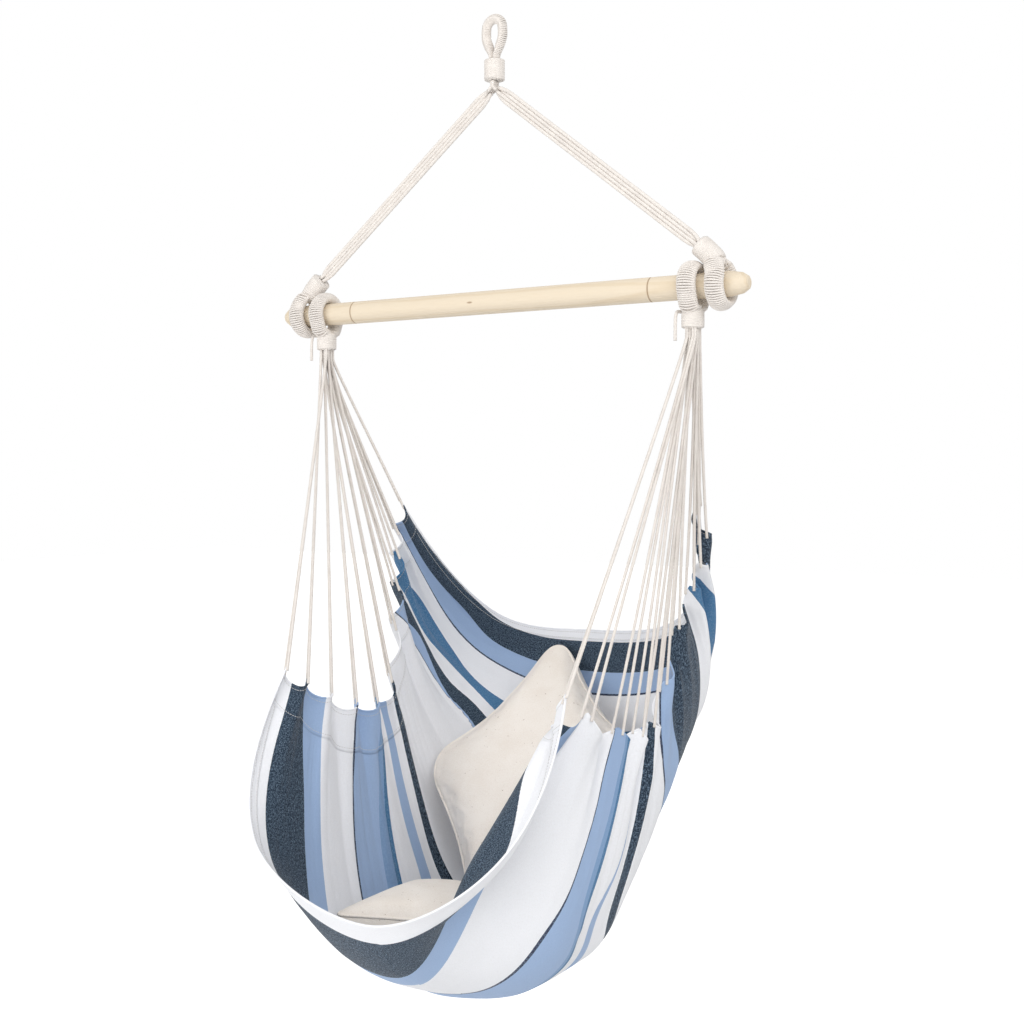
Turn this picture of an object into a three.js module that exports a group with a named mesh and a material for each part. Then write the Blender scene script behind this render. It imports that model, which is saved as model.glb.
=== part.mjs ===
// Hammock chair: striped cloth seat, wooden spreader bar, cords and two loose cushions.
// Millimetres, +Z up, +X along the bar, -Y to the front of the seat.
// The origin is the point inside the rope eye that bears on the hook.

import * as THREE from 'three';

// Running gap between pieces that touch, and the gap under a soft piece
const clearance = 0.3;
const softClearance = 1;
const windingClearance = 0.6;

// Spreader bar, a turned round of pine
const barDiameter = 38;
const barLength = 872;
const barDrop = 450;
const noseLength = 30;
const noseTipDiameter = 17;
const noseShoulder = 3;
const grooveFromEnd = 155;
const grooveStation = barLength / 2 - grooveFromEnd;
const grooveWidth = 2.4;
const grooveDepth = 0.8;

// Whipped rope loops: an oval bundle of cords with a finer cord wound round it
const bundleHalfWidth = 9;
const bundleHalfThickness = 5;
const whippingCord = 3.4;
const whippingPitch = 5.6;
const chairLoopFromEnd = 89;
const chairLoopStation = barLength / 2 - chairLoopFromEnd;
const suspensionLoopFromEnd = 45;
const suspensionLoopStation = barLength / 2 - suspensionLoopFromEnd;
const loopThroat = 32;
const loopEnd = 62;
const suspensionLean = 34;
const suspensionLeanStart = 15;
const leanPower = 1.7;

// Bindings that draw the legs of a loop together
const bindingCord = 5;
const bindingPitch = 6.8;
const bindingWidthShare = 1.16;
const bindingDepthShare = 1.08;

// Hanging eye, its neck and the crotch where the cords part
const eyeHoleHalfWidth = 7;
const eyeBundleRadius = 4;
const eyeWhippingCord = 2.8;
const eyeWhippingPitch = 6.4;
const eyeLength = 58;
const neckDiameter = 20;
const neckLength = 34;
const gatherDiameter = 20;

// Cords
const cordDiameter = 5;
const cordPacking = 5.7;
const cordStraight = 12;
const cordPull = 120;
const tailLength = 44;
const tailDiameter = 5.4;

// Cloth: half spacing of its side edges, half depth fore and aft, and fall below its top level.
// The seat sits forward and to the right of the bar's middle, where its load hangs plumb.
const seatHalfWidth = 244;
const seatHalfDepth = 322;
const seatTop = 456.5;
const seatFall = 1085;
const seatForward = 66;
const seatRightward = 39.5;
const stripeHalfLength = 560;
const clothThickness = 1.6;
const pleatDepth = 12;
const pleatFade = 95;
const scallopDip = 20;
const scallopFade = 60;
const bandWidth = 45;
const bandThickness = 1.2;

// Cushions
const coverThickness = 2.2;
const fillingGap = 1.6;
const pillowThickness = 146;
const pillowCrown = 30;
const pillowBorder = 26;
const seatPadThickness = 170;
const seatPadCrown = 24;
const seatPadBorder = 56;

// Counts
const clothCells = 30;
const chairLoopTurns = 13;
const suspensionLoopTurns = 11;
const eyeTurns = 14;
const neckTurns = 5;
const chairBindingTurns = 3;
const suspensionBindingTurns = 3;
const windingSteps = 7;
const windingSides = 5;
const cordSides = 8;
const cordSteps = 5;
const tailSteps = 8;
const ribbonSteps = 10;
const loopSteps = 24;
const loopSides = 10;
const barSides = 28;
const cushionCells = 9;
const slotCells = 3;

// Ribs of the cloth, from the front hem (0) to the back hem (1).
// Each row of shares: place along the cloth, then out from the middle, aft and down,
// in half widths, half depths and falls of the seat.
const leftEdgeShares = [
  [0, 1, -0.64, 0.522],
  [0.16, 0.972, -0.41, 0.556],
  [0.26, 1, -0.18, 0.585],
  [0.46, 1.024, 0.167, 0.585],
  [0.62, 1.08, 0.297, 0.472],
  [0.77, 1.16, 0.394, 0.391],
  [0.88, 1.2, 0.424, 0.346],
  [1, 1.16, 0.44, 0.294],
];
const leftBellyShares = [
  [0, 1.05, -0.83, 0.751],
  [0.12, 0.89, -0.62, 0.841],
  [0.26, 0.75, -0.24, 0.931],
  [0.36, 0.7, 0.06, 0.953],
  [0.47, 0.72, 0.425, 0.89],
  [0.63, 0.82, 0.65, 0.733],
  [0.74, 0.91, 0.79, 0.63],
  [0.87, 1, 0.945, 0.549],
  [1, 0.82, 0.975, 0.481],
];
const middleRibShares = [
  [0, 0, -1, 0.817],
  [0.12, 0, -0.76, 0.901],
  [0.26, 0, -0.3, 0.969],
  [0.36, 0, 0.015, 1],
  [0.47, 0, 0.395, 0.958],
  [0.63, 0, 0.76, 0.827],
  [0.74, 0, 0.925, 0.719],
  [0.87, 0, 1, 0.607],
  [1, 0, 0.985, 0.504],
];
// The right side holds a deep fold behind the front hem, between its first two cords.
const rightBellyShares = [
  [0, 0.78, -0.873, 0.715],
  [0.033, 0.711, -0.771, 0.728],
  [0.083, 0.58, -0.72, 0.732],
  [0.133, 0.446, -0.669, 0.736],
  [0.167, 0.498, -0.555, 0.758],
  [0.26, 0.69, -0.3, 0.854],
  [0.36, 0.66, -0.03, 0.895],
  [0.47, 0.67, 0.3, 0.89],
  [0.63, 0.87, 0.59, 0.71],
  [0.74, 0.94, 0.76, 0.625],
  [0.87, 0.91, 0.83, 0.549],
  [1, 0.78, 0.885, 0.469],
];
const rightEdgeShares = [
  [0, 1, -0.64, 0.522],
  [0.033, 0.863, -0.596, 0.536],
  [0.133, 0.86, -0.41, 0.566],
  [0.167, 0.972, -0.41, 0.556],
  [0.26, 1, -0.18, 0.585],
  [0.46, 1.024, 0.167, 0.585],
  [0.62, 1.08, 0.297, 0.472],
  [0.77, 1.16, 0.394, 0.391],
  [0.88, 1.2, 0.424, 0.346],
  [1, 1.16, 0.44, 0.294],
];
// Cells of the cloth's mesh at which its cords hold it, counted from the front hem
const leftAnchors = [0, 3, 6, 9, 12, 15, 18, 21, 24, 27, 30];
const rightAnchors = [0, 5, 8, 11, 13, 16, 19, 22, 24, 27, 30];
// Rows of the cloth's mesh past the band, as shares of the half stripe
const clothRowShares = [0.17, 0.3, 0.46, 0.64, 0.82, 1];

// Corners of each cushion's open face: out, aft and down, in the seat's sizes.
// The pillow stands on one corner; the pad lies in the bottom of the seat.
const pillowCornerShares = [
  [-0.15, -0.02, 0.99],
  [0.65, 0.6, 0.7],
  [-0.232, 0.918, 0.541],
  [-0.896, 0.373, 0.728],
];
const seatPadCornerShares = [
  [-0.58, -0.76, 0.842],
  [0.13, -0.56, 0.842],
  [0.46, 0, 0.852],
  [-0.6, 0, 0.852],
];

// Places of the cords in the tied bundle, in packing widths: out, aft
const packShares = [
  [-1, -1.5],
  [1, -1.5],
  [0, -1],
  [-1, -0.5],
  [1, -0.5],
  [0, 0],
  [-1, 0.5],
  [1, 0.5],
  [0, 1],
  [1, 1.5],
  [-1, 1.5],
];

// Materials
const cottonRope = new THREE.MeshStandardMaterial({ color: 0xece6de, roughness: 0.9, metalness: 0 });
const pine = new THREE.MeshStandardMaterial({ color: 0xf3e5cc, roughness: 0.6, metalness: 0 });
const stripedCloth = new THREE.MeshStandardMaterial({ color: 0xb9c4d6, roughness: 0.9, metalness: 0 });
const bandCloth = new THREE.MeshStandardMaterial({ color: 0xe4e6ea, roughness: 0.9, metalness: 0 });
const cushionCloth = new THREE.MeshStandardMaterial({ color: 0xe8ded4, roughness: 0.95, metalness: 0 });
const wadding = new THREE.MeshStandardMaterial({ color: 0xf7f6f2, roughness: 1, metalness: 0 });
const zipTape = new THREE.MeshStandardMaterial({ color: 0xd8cfc4, roughness: 0.7, metalness: 0 });

const alongBar = new THREE.Vector3(1, 0, 0);
const aft = new THREE.Vector3(0, 1, 0);
const down = new THREE.Vector3(0, 0, -1);

// Worked out from the sizes above
const turnFlat = Math.cos(Math.PI / windingSteps);
const barRadius = barDiameter / 2;
const legOffset = bundleHalfThickness + clearance / 2;
const loopRadius = barRadius + clearance + windingReach(bundleHalfThickness, whippingCord);
const eyeRadius = eyeHoleHalfWidth + windingReach(eyeBundleRadius, eyeWhippingCord);
const eyeLegOffset = eyeBundleRadius + clearance / 2;
const gatherDrop = eyeLength + neckLength + gatherDiameter / 2 + 2 * clearance;

const chair = new THREE.Group();

/** Adds a named piece to the chair. */
function addPiece(name, geometry, material) {
  const mesh = new THREE.Mesh(geometry, material);
  mesh.name = name;
  chair.add(mesh);
  mesh.updateMatrixWorld(true);
  return mesh;
}

/** Farthest reach of a cord wound round a core of the given half size. */
function windingReach(coreHalf, cord) {
  return (coreHalf + windingClearance + cord / 2) / turnFlat + cord / 2;
}

/** A route through given points; with a reference, the section keeps one side turned to it. */
class Route extends THREE.Curve {
  constructor(points, reference = null) {
    super();
    this.points = points;
    this.reference = reference;
  }

  getPoint(share, target = new THREE.Vector3()) {
    const place = share * (this.points.length - 1);
    const index = Math.min(Math.floor(place), this.points.length - 2);
    return target.copy(this.points[index]).lerp(this.points[index + 1], place - index);
  }

  getTangentAt(share, target = new THREE.Vector3()) {
    const last = this.points.length - 1;
    const place = Math.round(share * last);
    const before = this.points[Math.max(place - 1, 0)];
    const after = this.points[Math.min(place + 1, last)];
    return target.copy(after).sub(before).normalize();
  }

  getSpacedPoints() {
    return this.points;
  }

  computeFrenetFrames(segments, closed) {
    const frames = super.computeFrenetFrames(segments, closed);
    if (this.reference !== null) {
      frames.normals = frames.tangents.map((tangent) => acrossOf(tangent, this.reference));
      frames.binormals = frames.tangents.map((tangent, i) => tangent.clone().cross(frames.normals[i]));
    }
    return frames;
  }
}

/** The part of a reference direction that lies square to a tangent. */
function acrossOf(tangent, reference) {
  return reference.clone().addScaledVector(tangent, -reference.dot(tangent)).normalize();
}

/** A closed tube of an oval section along points. */
function ovalTube(points, halfWidth, halfThickness, sides, reference = null) {
  const corners = [];
  for (let i = 0; i < sides; i++) {
    const angle = (2 * Math.PI * i) / sides;
    corners.push(new THREE.Vector2(halfWidth * Math.cos(angle), halfThickness * Math.sin(angle)));
  }
  return new THREE.ExtrudeGeometry(new THREE.Shape(corners), {
    steps: points.length - 1,
    extrudePath: new Route(points, reference),
  });
}

/** Smallest space between the turns of one winding, measured from point to point. */
function leastGap(points, diameter) {
  let least = Infinity;
  const apart = Math.ceil(windingSteps / 2);
  for (let i = 0; i < points.length; i++) {
    for (let j = i + apart; j < points.length; j++) {
      least = Math.min(least, points[i].distanceTo(points[j]));
    }
  }
  return least - diameter;
}

/** Winds one unbroken cord from a start angle round the middle of a centre line; returns its route. */
function addWinding(name, centreLine, turns, size, reference) {
  const stretch = Math.min((turns * size.pitch) / centreLine.getLength(), 1);
  const standOff = windingClearance + size.cord / 2;
  const halfWidth = (size.halfWidth + standOff) / turnFlat;
  const halfThickness = (size.halfThickness + standOff) / turnFlat;
  const count = Math.round(turns * windingSteps);
  const points = [];
  for (let i = 0; i <= count; i++) {
    const share = (1 - stretch) / 2 + (stretch * i) / count;
    const tangent = centreLine.getTangentAt(share);
    const across = acrossOf(tangent, reference);
    const outward = tangent.clone().cross(across);
    const angle = size.start + (size.sense * 2 * Math.PI * i) / windingSteps;
    const place = centreLine.getPointAt(share);
    place.addScaledVector(across, halfWidth * Math.cos(angle));
    place.addScaledVector(outward, halfThickness * Math.sin(angle));
    points.push(place);
  }
  const start = points[0].clone().sub(points[1]).setLength(size.cord).add(points[0]);
  const finish = points[count].clone().sub(points[count - 1]).setLength(size.cord).add(points[count]);
  const route = [start, ...points, finish];
  console.log(`${name}: least gap to itself ${leastGap(route, size.cord).toFixed(2)} mm`);
  addPiece(name, ovalTube(route, size.cord / 2, size.cord / 2, windingSides), cottonRope);
  return route;
}

/** Half an arch of a loop: leg end, throat, then the ring's quarter points. */
function loopControlPoints(radius, legGap, throat, end) {
  const half = [
    [legGap, end],
    [legGap, (throat + end) / 2],
    [legGap, throat],
    [(legGap + radius) / 2, (throat + radius) / 2],
  ];
  const ring = [];
  for (let angle = -30; angle <= 210; angle += 30) {
    const turn = THREE.MathUtils.degToRad(angle);
    ring.push([radius * Math.cos(turn), -radius * Math.sin(turn)]);
  }
  const mirrored = half.map(([across, drop]) => [-across, drop]).reverse();
  return [...half, ...ring, ...mirrored];
}

/** Turned bar with its two grooves and tapered noses. */
function buildBar() {
  const half = barLength / 2;
  const tip = noseTipDiameter / 2;
  const groove = barRadius - grooveDepth;
  const rightHalf = [
    [barRadius, grooveStation - grooveWidth / 2],
    [groove, grooveStation],
    [barRadius, grooveStation + grooveWidth / 2],
    [barRadius, half - noseLength],
    [(2 * barRadius + tip) / 3, half - noseLength / 3],
    [tip + noseShoulder / 2, half - noseShoulder / 2],
    [tip - noseShoulder / 2, half],
    [0, half],
  ];
  const leftHalf = rightHalf.map(([radius, station]) => [radius, -station]).reverse();
  const profile = [...leftHalf, ...rightHalf].map(([radius, station]) => new THREE.Vector2(radius, station));
  const geometry = new THREE.LatheGeometry(profile, barSides);
  geometry.rotateZ(-Math.PI / 2);
  geometry.translate(0, 0, -barDrop);
  addPiece('spreader_bar', geometry, pine);
}

/** Whipped eye that hangs on the hook, with its neck, binding and the crotch below. */
function buildEye() {
  const half = [
    [eyeLegOffset, -eyeLength],
    [eyeLegOffset, -eyeLength * 0.88],
    [(eyeLegOffset + eyeRadius) / 2, -eyeLength * 0.65],
    [eyeRadius, -eyeLength * 0.4],
    [eyeRadius, -eyeHoleHalfWidth],
  ];
  const top = [];
  for (let angle = 30; angle <= 150; angle += 30) {
    const turn = THREE.MathUtils.degToRad(angle);
    top.push([eyeRadius * Math.cos(turn), eyeRadius * Math.sin(turn) - eyeHoleHalfWidth]);
  }
  const outline = [...half, ...top, ...half.map(([across, height]) => [-across, height]).reverse()];
  const places = outline.map(([across, height]) => new THREE.Vector3(across, 0, height));
  const line = new THREE.CatmullRomCurve3(places);
  const core = ovalTube(line.getSpacedPoints(loopSteps), eyeBundleRadius, eyeBundleRadius, loopSides, aft);
  addPiece('hanging_eye_core', core, cottonRope);
  const whipping = {
    start: 0,
    sense: 1,
    cord: eyeWhippingCord,
    pitch: eyeWhippingPitch,
    halfWidth: eyeBundleRadius,
    halfThickness: eyeBundleRadius,
  };
  addWinding('hanging_eye_whipping', line, eyeTurns, whipping, aft);

  const neckTop = -eyeLength - clearance;
  const neckLine = new THREE.LineCurve3(
    new THREE.Vector3(0, 0, neckTop),
    new THREE.Vector3(0, 0, neckTop - neckLength),
  );
  const neckRadius = neckDiameter / 2;
  const neck = ovalTube(neckLine.getSpacedPoints(1), neckRadius, neckRadius, loopSides, aft);
  addPiece('eye_neck', neck, cottonRope);
  const binding = {
    start: 0,
    sense: 1,
    cord: bindingCord,
    pitch: bindingPitch,
    halfWidth: neckRadius,
    halfThickness: neckRadius,
  };
  addWinding('eye_binding', neckLine, neckTurns, binding, aft);

  const gather = new THREE.SphereGeometry(gatherDiameter / 2, 2 * loopSides, loopSides);
  gather.translate(0, 0, -gatherDrop);
  addPiece('cord_gather', gather, cottonRope);
}

/** Inward lean of a suspension loop at a height above the bar. */
function leanAt(rise) {
  const share = (rise - suspensionLeanStart) / (loopEnd - suspensionLeanStart);
  return suspensionLean * Math.pow(THREE.MathUtils.clamp(share, 0, 1), leanPower);
}

/** One whipped loop over the bar, with the binding that closes its throat; returns the binding's route. */
function buildLoop(name, side, station, away, turns, bindingTurns, lean) {
  const place = (across, drop) =>
    new THREE.Vector3(side * (station - lean(drop)), across, away * drop - barDrop);
  const outward = alongBar.clone().multiplyScalar(side);
  const outline = loopControlPoints(loopRadius, legOffset, loopThroat, loopEnd);
  const line = new THREE.CatmullRomCurve3(outline.map(([across, drop]) => place(across, drop)));
  line.arcLengthDivisions = 20 * loopSteps;
  const core = ovalTube(
    line.getSpacedPoints(loopSteps),
    bundleHalfWidth,
    bundleHalfThickness,
    loopSides,
    outward,
  );
  addPiece(`${name}_core`, core, cottonRope);
  const whipping = {
    start: 0,
    sense: -side,
    cord: whippingCord,
    pitch: whippingPitch,
    halfWidth: bundleHalfWidth,
    halfThickness: bundleHalfThickness,
  };
  addWinding(`${name}_whipping`, line, turns, whipping, outward);
  const bindingStart = loopThroat + bindingCord / 2;
  const bindingEnd = loopEnd - bindingCord / 4;
  const legLine = new THREE.CatmullRomCurve3([
    place(0, bindingStart),
    place(0, (bindingStart + bindingEnd) / 2),
    place(0, bindingEnd),
  ]);
  const binding = {
    start: side > 0 ? Math.PI : 0,
    sense: 1,
    cord: bindingCord,
    pitch: bindingPitch,
    halfWidth: bundleHalfWidth * bindingWidthShare,
    halfThickness: (legOffset + bundleHalfThickness) * bindingDepthShare,
  };
  return addWinding(`${name}_binding`, legLine, bindingTurns, binding, outward);
}

/** Four cords of one suspension leg: bunched at both ends, side by side between. */
function buildSuspensionCords(sideName, side) {
  const start = new THREE.Vector3(0, 0, -gatherDrop);
  const finish = new THREE.Vector3(side * (suspensionLoopStation - suspensionLean), 0, loopEnd - barDrop);
  const along = finish.clone().sub(start).normalize();
  const across = aft.clone().cross(along);
  start.addScaledVector(along, gatherDiameter / 2 + clearance);
  finish.addScaledVector(along, -3 * clearance);
  for (let cord = 0; cord < 4; cord++) {
    const pair = cord < 2 ? -1 : 1;
    const member = cord % 2 === 0 ? -1 : 1;
    const points = [];
    for (let step = 0; step <= ribbonSteps; step++) {
      const share = step / ribbonSteps;
      const spread = THREE.MathUtils.smoothstep(Math.min(share, 1 - share), 0, 0.3);
      const roll = ((1 - spread) * Math.PI) / 2;
      const pairOffset = (pair * cordPacking * (1 + spread)) / 2;
      const sideways = pairOffset + (member * cordPacking * Math.cos(roll)) / 2;
      const point = start.clone().lerp(finish, share);
      point.addScaledVector(across, sideways);
      point.addScaledVector(aft, (member * cordPacking * Math.sin(roll)) / 2);
      points.push(point);
    }
    const radius = cordDiameter / 2;
    const name = `${sideName}_suspension_cord_${cord + 1}`;
    addPiece(name, ovalTube(points, radius, radius, cordSides, aft), cottonRope);
  }
}

/** A smooth value through rows of shares at a place along the cloth. */
function ribValue(rows, column, along) {
  let index = 0;
  while (index < rows.length - 2 && along > rows[index + 1][0]) {
    index += 1;
  }
  const slope = (i) => {
    const before = rows[Math.max(i - 1, 0)];
    const after = rows[Math.min(i + 1, rows.length - 1)];
    return (after[column] - before[column]) / (after[0] - before[0]);
  };
  const [from, to] = [rows[index], rows[index + 1]];
  const width = to[0] - from[0];
  const u = (along - from[0]) / width;
  const rise = (2 * u ** 3 - 3 * u ** 2 + 1) * from[column] + (3 * u ** 2 - 2 * u ** 3) * to[column];
  return rise + width * ((u ** 3 - 2 * u ** 2 + u) * slope(index) + (u ** 3 - u ** 2) * slope(index + 1));
}

/** A place in the seat from its shares. */
function seatPlace(out, rear, fall) {
  const x = out * seatHalfWidth + seatRightward;
  const y = rear * seatHalfDepth - seatForward;
  return new THREE.Vector3(x, y, -seatTop - fall * seatFall);
}

/** A point of one rib; side -1 is the left. */
function ribPoint(rows, side, along) {
  return seatPlace(side * ribValue(rows, 1, along), ribValue(rows, 2, along), ribValue(rows, 3, along));
}

/** The smooth cloth at a place along it and across it, from -1 at the left edge to 1 at the right. */
function smoothCloth(along, across) {
  const ribs = [
    ribPoint(leftEdgeShares, -1, along),
    ribPoint(leftBellyShares, -1, along),
    ribPoint(middleRibShares, 1, along),
    ribPoint(rightBellyShares, 1, along),
    ribPoint(rightEdgeShares, 1, along),
  ];
  const last = ribs.length - 1;
  const place = ((across + 1) / 2) * last;
  const index = Math.min(Math.floor(place), last - 1);
  const u = place - index;
  const slope = (i) => {
    if (i === 0 || i === last) {
      const inward = i === 0 ? 1 : -1;
      const end = ribs[i].clone().multiplyScalar(-1.5);
      end.addScaledVector(ribs[i + inward], 2).addScaledVector(ribs[i + 2 * inward], -0.5);
      return end.multiplyScalar(inward);
    }
    return ribs[i + 1].clone().sub(ribs[i - 1]).multiplyScalar(0.5);
  };
  const point = ribs[index].clone().multiplyScalar(2 * u ** 3 - 3 * u ** 2 + 1);
  point.addScaledVector(ribs[index + 1], 3 * u ** 2 - 2 * u ** 3);
  point.addScaledVector(slope(index), u ** 3 - 2 * u ** 2 + u);
  return point.addScaledVector(slope(index + 1), u ** 3 - u ** 2);
}

/** How many scallops of one side edge lie before a place along the cloth. */
function scallopPhase(along, side) {
  const anchors = side < 0 ? leftAnchors : rightAnchors;
  const cell = along * clothCells;
  const next = Math.max(anchors.findIndex((anchor) => anchor >= cell), 1);
  return next - (anchors[next] - cell) / (anchors[next] - anchors[next - 1]);
}

/** The hanging cloth with the pleats and scallops that its cords draw into the side edges. */
function clothPoint(along, across) {
  const point = smoothCloth(along, across);
  const reach = 0.01;
  const alongA = smoothCloth(Math.max(along - reach, 0), across);
  const alongB = smoothCloth(Math.min(along + reach, 1), across);
  const acrossA = smoothCloth(along, Math.max(across - reach, -1));
  const acrossB = smoothCloth(along, Math.min(across + reach, 1));
  const inward = acrossB.sub(acrossA).normalize();
  const outward = alongB.sub(alongA).cross(inward).normalize();
  inward.multiplyScalar(-Math.sign(across));
  const fromEdge = (1 - Math.abs(across)) * stripeHalfLength;
  const phase = scallopPhase(along, across);
  const dip = scallopDip * Math.abs(Math.sin(Math.PI * phase)) * Math.exp(-fromEdge / scallopFade);
  const pleat = pleatDepth * Math.sin(2 * Math.PI * phase) * Math.exp(-fromEdge / pleatFade);
  return point.addScaledVector(inward, dip).addScaledVector(outward, pleat);
}

/** A closed geometry from points and faces of three or four corners, facing out. */
function bodyFrom(points, faces) {
  const corners = [];
  for (const face of faces) {
    corners.push(face[0], face[1], face[2]);
    if (face.length === 4) {
      corners.push(face[0], face[2], face[3]);
    }
  }
  const geometry = new THREE.BufferGeometry();
  geometry.setAttribute('position', new THREE.Float32BufferAttribute(points.flatMap((p) => p.toArray()), 3));
  geometry.setIndex(corners);
  return geometry;
}

/** Unit normals at the points of a surface, weighted by the faces that meet there. */
function pointNormals(points, faces) {
  const normals = points.map(() => new THREE.Vector3());
  for (const face of faces) {
    const diagonal = points[face[2]].clone().sub(points[face[0]]);
    const other = points[face[face.length - 1]].clone().sub(points[face[1]]);
    const normal = diagonal.cross(other);
    face.forEach((corner) => normals[corner].add(normal));
  }
  return normals.map((normal) => normal.normalize());
}

/** A face seen from behind, cut along the same diagonal. */
function turned(face) {
  return [face[0], ...face.slice(1).reverse()];
}

/** Quads of a grid of rows and columns, first corner at an offset into the points. */
function gridFaces(rows, columns, offset, flip) {
  const faces = [];
  for (let row = 0; row < rows; row++) {
    for (let column = 0; column < columns; column++) {
      const corner = offset + row * (columns + 1) + column;
      const face = [corner, corner + 1, corner + columns + 2, corner + columns + 1];
      faces.push(flip ? turned(face) : face);
    }
  }
  return faces;
}

/** The ring of points round a grid, in order. */
function gridRing(rows, columns) {
  const ring = [];
  for (let column = 0; column < columns; column++) {
    ring.push(column);
  }
  for (let row = 0; row < rows; row++) {
    ring.push(row * (columns + 1) + columns);
  }
  for (let column = columns; column > 0; column--) {
    ring.push(rows * (columns + 1) + column);
  }
  for (let row = rows; row > 0; row--) {
    ring.push(row * (columns + 1));
  }
  return ring;
}

/** A sheet of even thickness between two offsets from a grid of points and normals. */
function sheetBody(grid, rows, columns, near, far) {
  const faces = gridFaces(rows, columns, 0, false);
  const inner = grid.map(({ point, normal }) => point.clone().addScaledVector(normal, near));
  const outer = grid.map(({ point, normal }) => point.clone().addScaledVector(normal, far));
  const count = grid.length;
  const ring = gridRing(rows, columns);
  const rim = ring.map((corner, i) => {
    const next = ring[(i + 1) % ring.length];
    return [corner + count, corner, next, next + count];
  });
  const skins = [
    ...faces.map((face) => face.map((corner) => corner + count)),
    ...faces.map(turned),
  ];
  return bodyFrom([...inner, ...outer], [...skins, ...rim]);
}

/** Shares of the mesh across the cloth, from the left edge to the right. */
function clothColumns() {
  const bandShare = bandWidth / stripeHalfLength;
  const fromEdge = [0, bandShare / 2, bandShare, ...clothRowShares];
  const left = fromEdge.map((share) => share - 1);
  const right = left.slice(0, -1).reverse().map((across) => -across);
  return [...left, ...right];
}

/** Rows of the cloth's middle surface, each point with its normal. */
function clothRows(columns) {
  const points = [];
  for (let row = 0; row <= clothCells; row++) {
    for (const across of columns) {
      points.push(clothPoint(row / clothCells, across));
    }
  }
  const normals = pointNormals(points, gridFaces(clothCells, columns.length - 1, 0, false));
  const placed = points.map((point, i) => ({ point, normal: normals[i] }));
  return Array.from({ length: clothCells + 1 }, (unused, row) =>
    placed.slice(row * columns.length, (row + 1) * columns.length),
  );
}

/** The one-piece seat cloth and the doubled bands sewn along its side edges. */
function buildCloth() {
  const columns = clothColumns();
  const rows = clothRows(columns);
  const half = clothThickness / 2;
  const near = half + 3 * clearance;
  const far = near + bandThickness;
  const cloth = sheetBody(rows.flat(), clothCells, columns.length - 1, -half, half);
  const left = sheetBody(rows.flatMap((row) => row.slice(0, 3)), clothCells, 2, near, far);
  const right = sheetBody(rows.flatMap((row) => row.slice(-3)), clothCells, 2, near, far);
  return [
    addPiece('seat_cloth', cloth, stripedCloth),
    addPiece('left_edge_band', left, bandCloth),
    addPiece('right_edge_band', right, bandCloth),
  ];
}

/** How far a round of a given radius can run along a line before it meets a target. */
function roomAlong(origin, along, radius, targets) {
  const across = acrossOf(along, alongBar);
  const outward = along.clone().cross(across);
  const ray = new THREE.Raycaster();
  let room = Infinity;
  for (const reach of [0, radius / 2, radius]) {
    for (let i = 0; i < cordSides; i++) {
      const angle = (2 * Math.PI * i) / cordSides;
      const start = origin.clone().addScaledVector(across, reach * Math.cos(angle));
      ray.set(start.addScaledVector(outward, reach * Math.sin(angle)), along);
      const hits = ray.intersectObjects(targets);
      room = hits.length > 0 ? Math.min(room, hits[0].distance) : room;
    }
  }
  return room;
}

/** Cords that fan from one tied loop down to the anchors along a side edge. */
function buildChairCords(sideName, side, clothPieces) {
  const radius = cordDiameter / 2;
  const anchors = side < 0 ? leftAnchors : rightAnchors;
  packShares.forEach(([out, rear], cord) => {
    const anchor = clothPoint(anchors[cord] / clothCells, side);
    const top = new THREE.Vector3(
      side * (chairLoopStation + out * cordPacking),
      rear * cordPacking,
      -barDrop - loopEnd - clearance,
    );
    const bend = top.clone().addScaledVector(down, cordStraight);
    const along = anchor.clone().sub(bend).normalize();
    const probe = anchor.clone().addScaledVector(along, -cordPull);
    const room = Math.min(roomAlong(probe, along, radius + clearance, clothPieces), cordPull);
    const finish = probe.clone().addScaledVector(along, room - 2 * clearance);
    const route = new THREE.CubicBezierCurve3(
      bend,
      bend.clone().addScaledVector(down, cordStraight),
      probe,
      finish,
    );
    const points = [top, ...route.getSpacedPoints(cordSteps)];
    const name = `${sideName}_chair_cord_${cord + 1}`;
    addPiece(name, ovalTube(points, radius, radius, cordSides, alongBar), cottonRope);
  });
}

/** Free end of a binding cord: it runs on from the binding's upper end, then hangs. */
function buildTail(sideName, bindingRoute) {
  const onward = bindingRoute[0].clone().sub(bindingRoute[1]).normalize();
  const top = bindingRoute[0].clone().addScaledVector(onward, 2 * clearance);
  const corner = top.clone().addScaledVector(onward, 2 * tailDiameter);
  const end = corner.clone().addScaledVector(down, tailLength);
  const curl = corner.clone().addScaledVector(down, tailDiameter);
  const points = [top, ...new THREE.CubicBezierCurve3(
    top.clone().addScaledVector(onward, tailDiameter / 2),
    corner,
    curl,
    end,
  ).getSpacedPoints(tailSteps)];
  const radius = tailDiameter / 2;
  addPiece(`${sideName}_cord_tail`, ovalTube(points, radius, radius, cordSides, alongBar), cottonRope);
}

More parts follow.
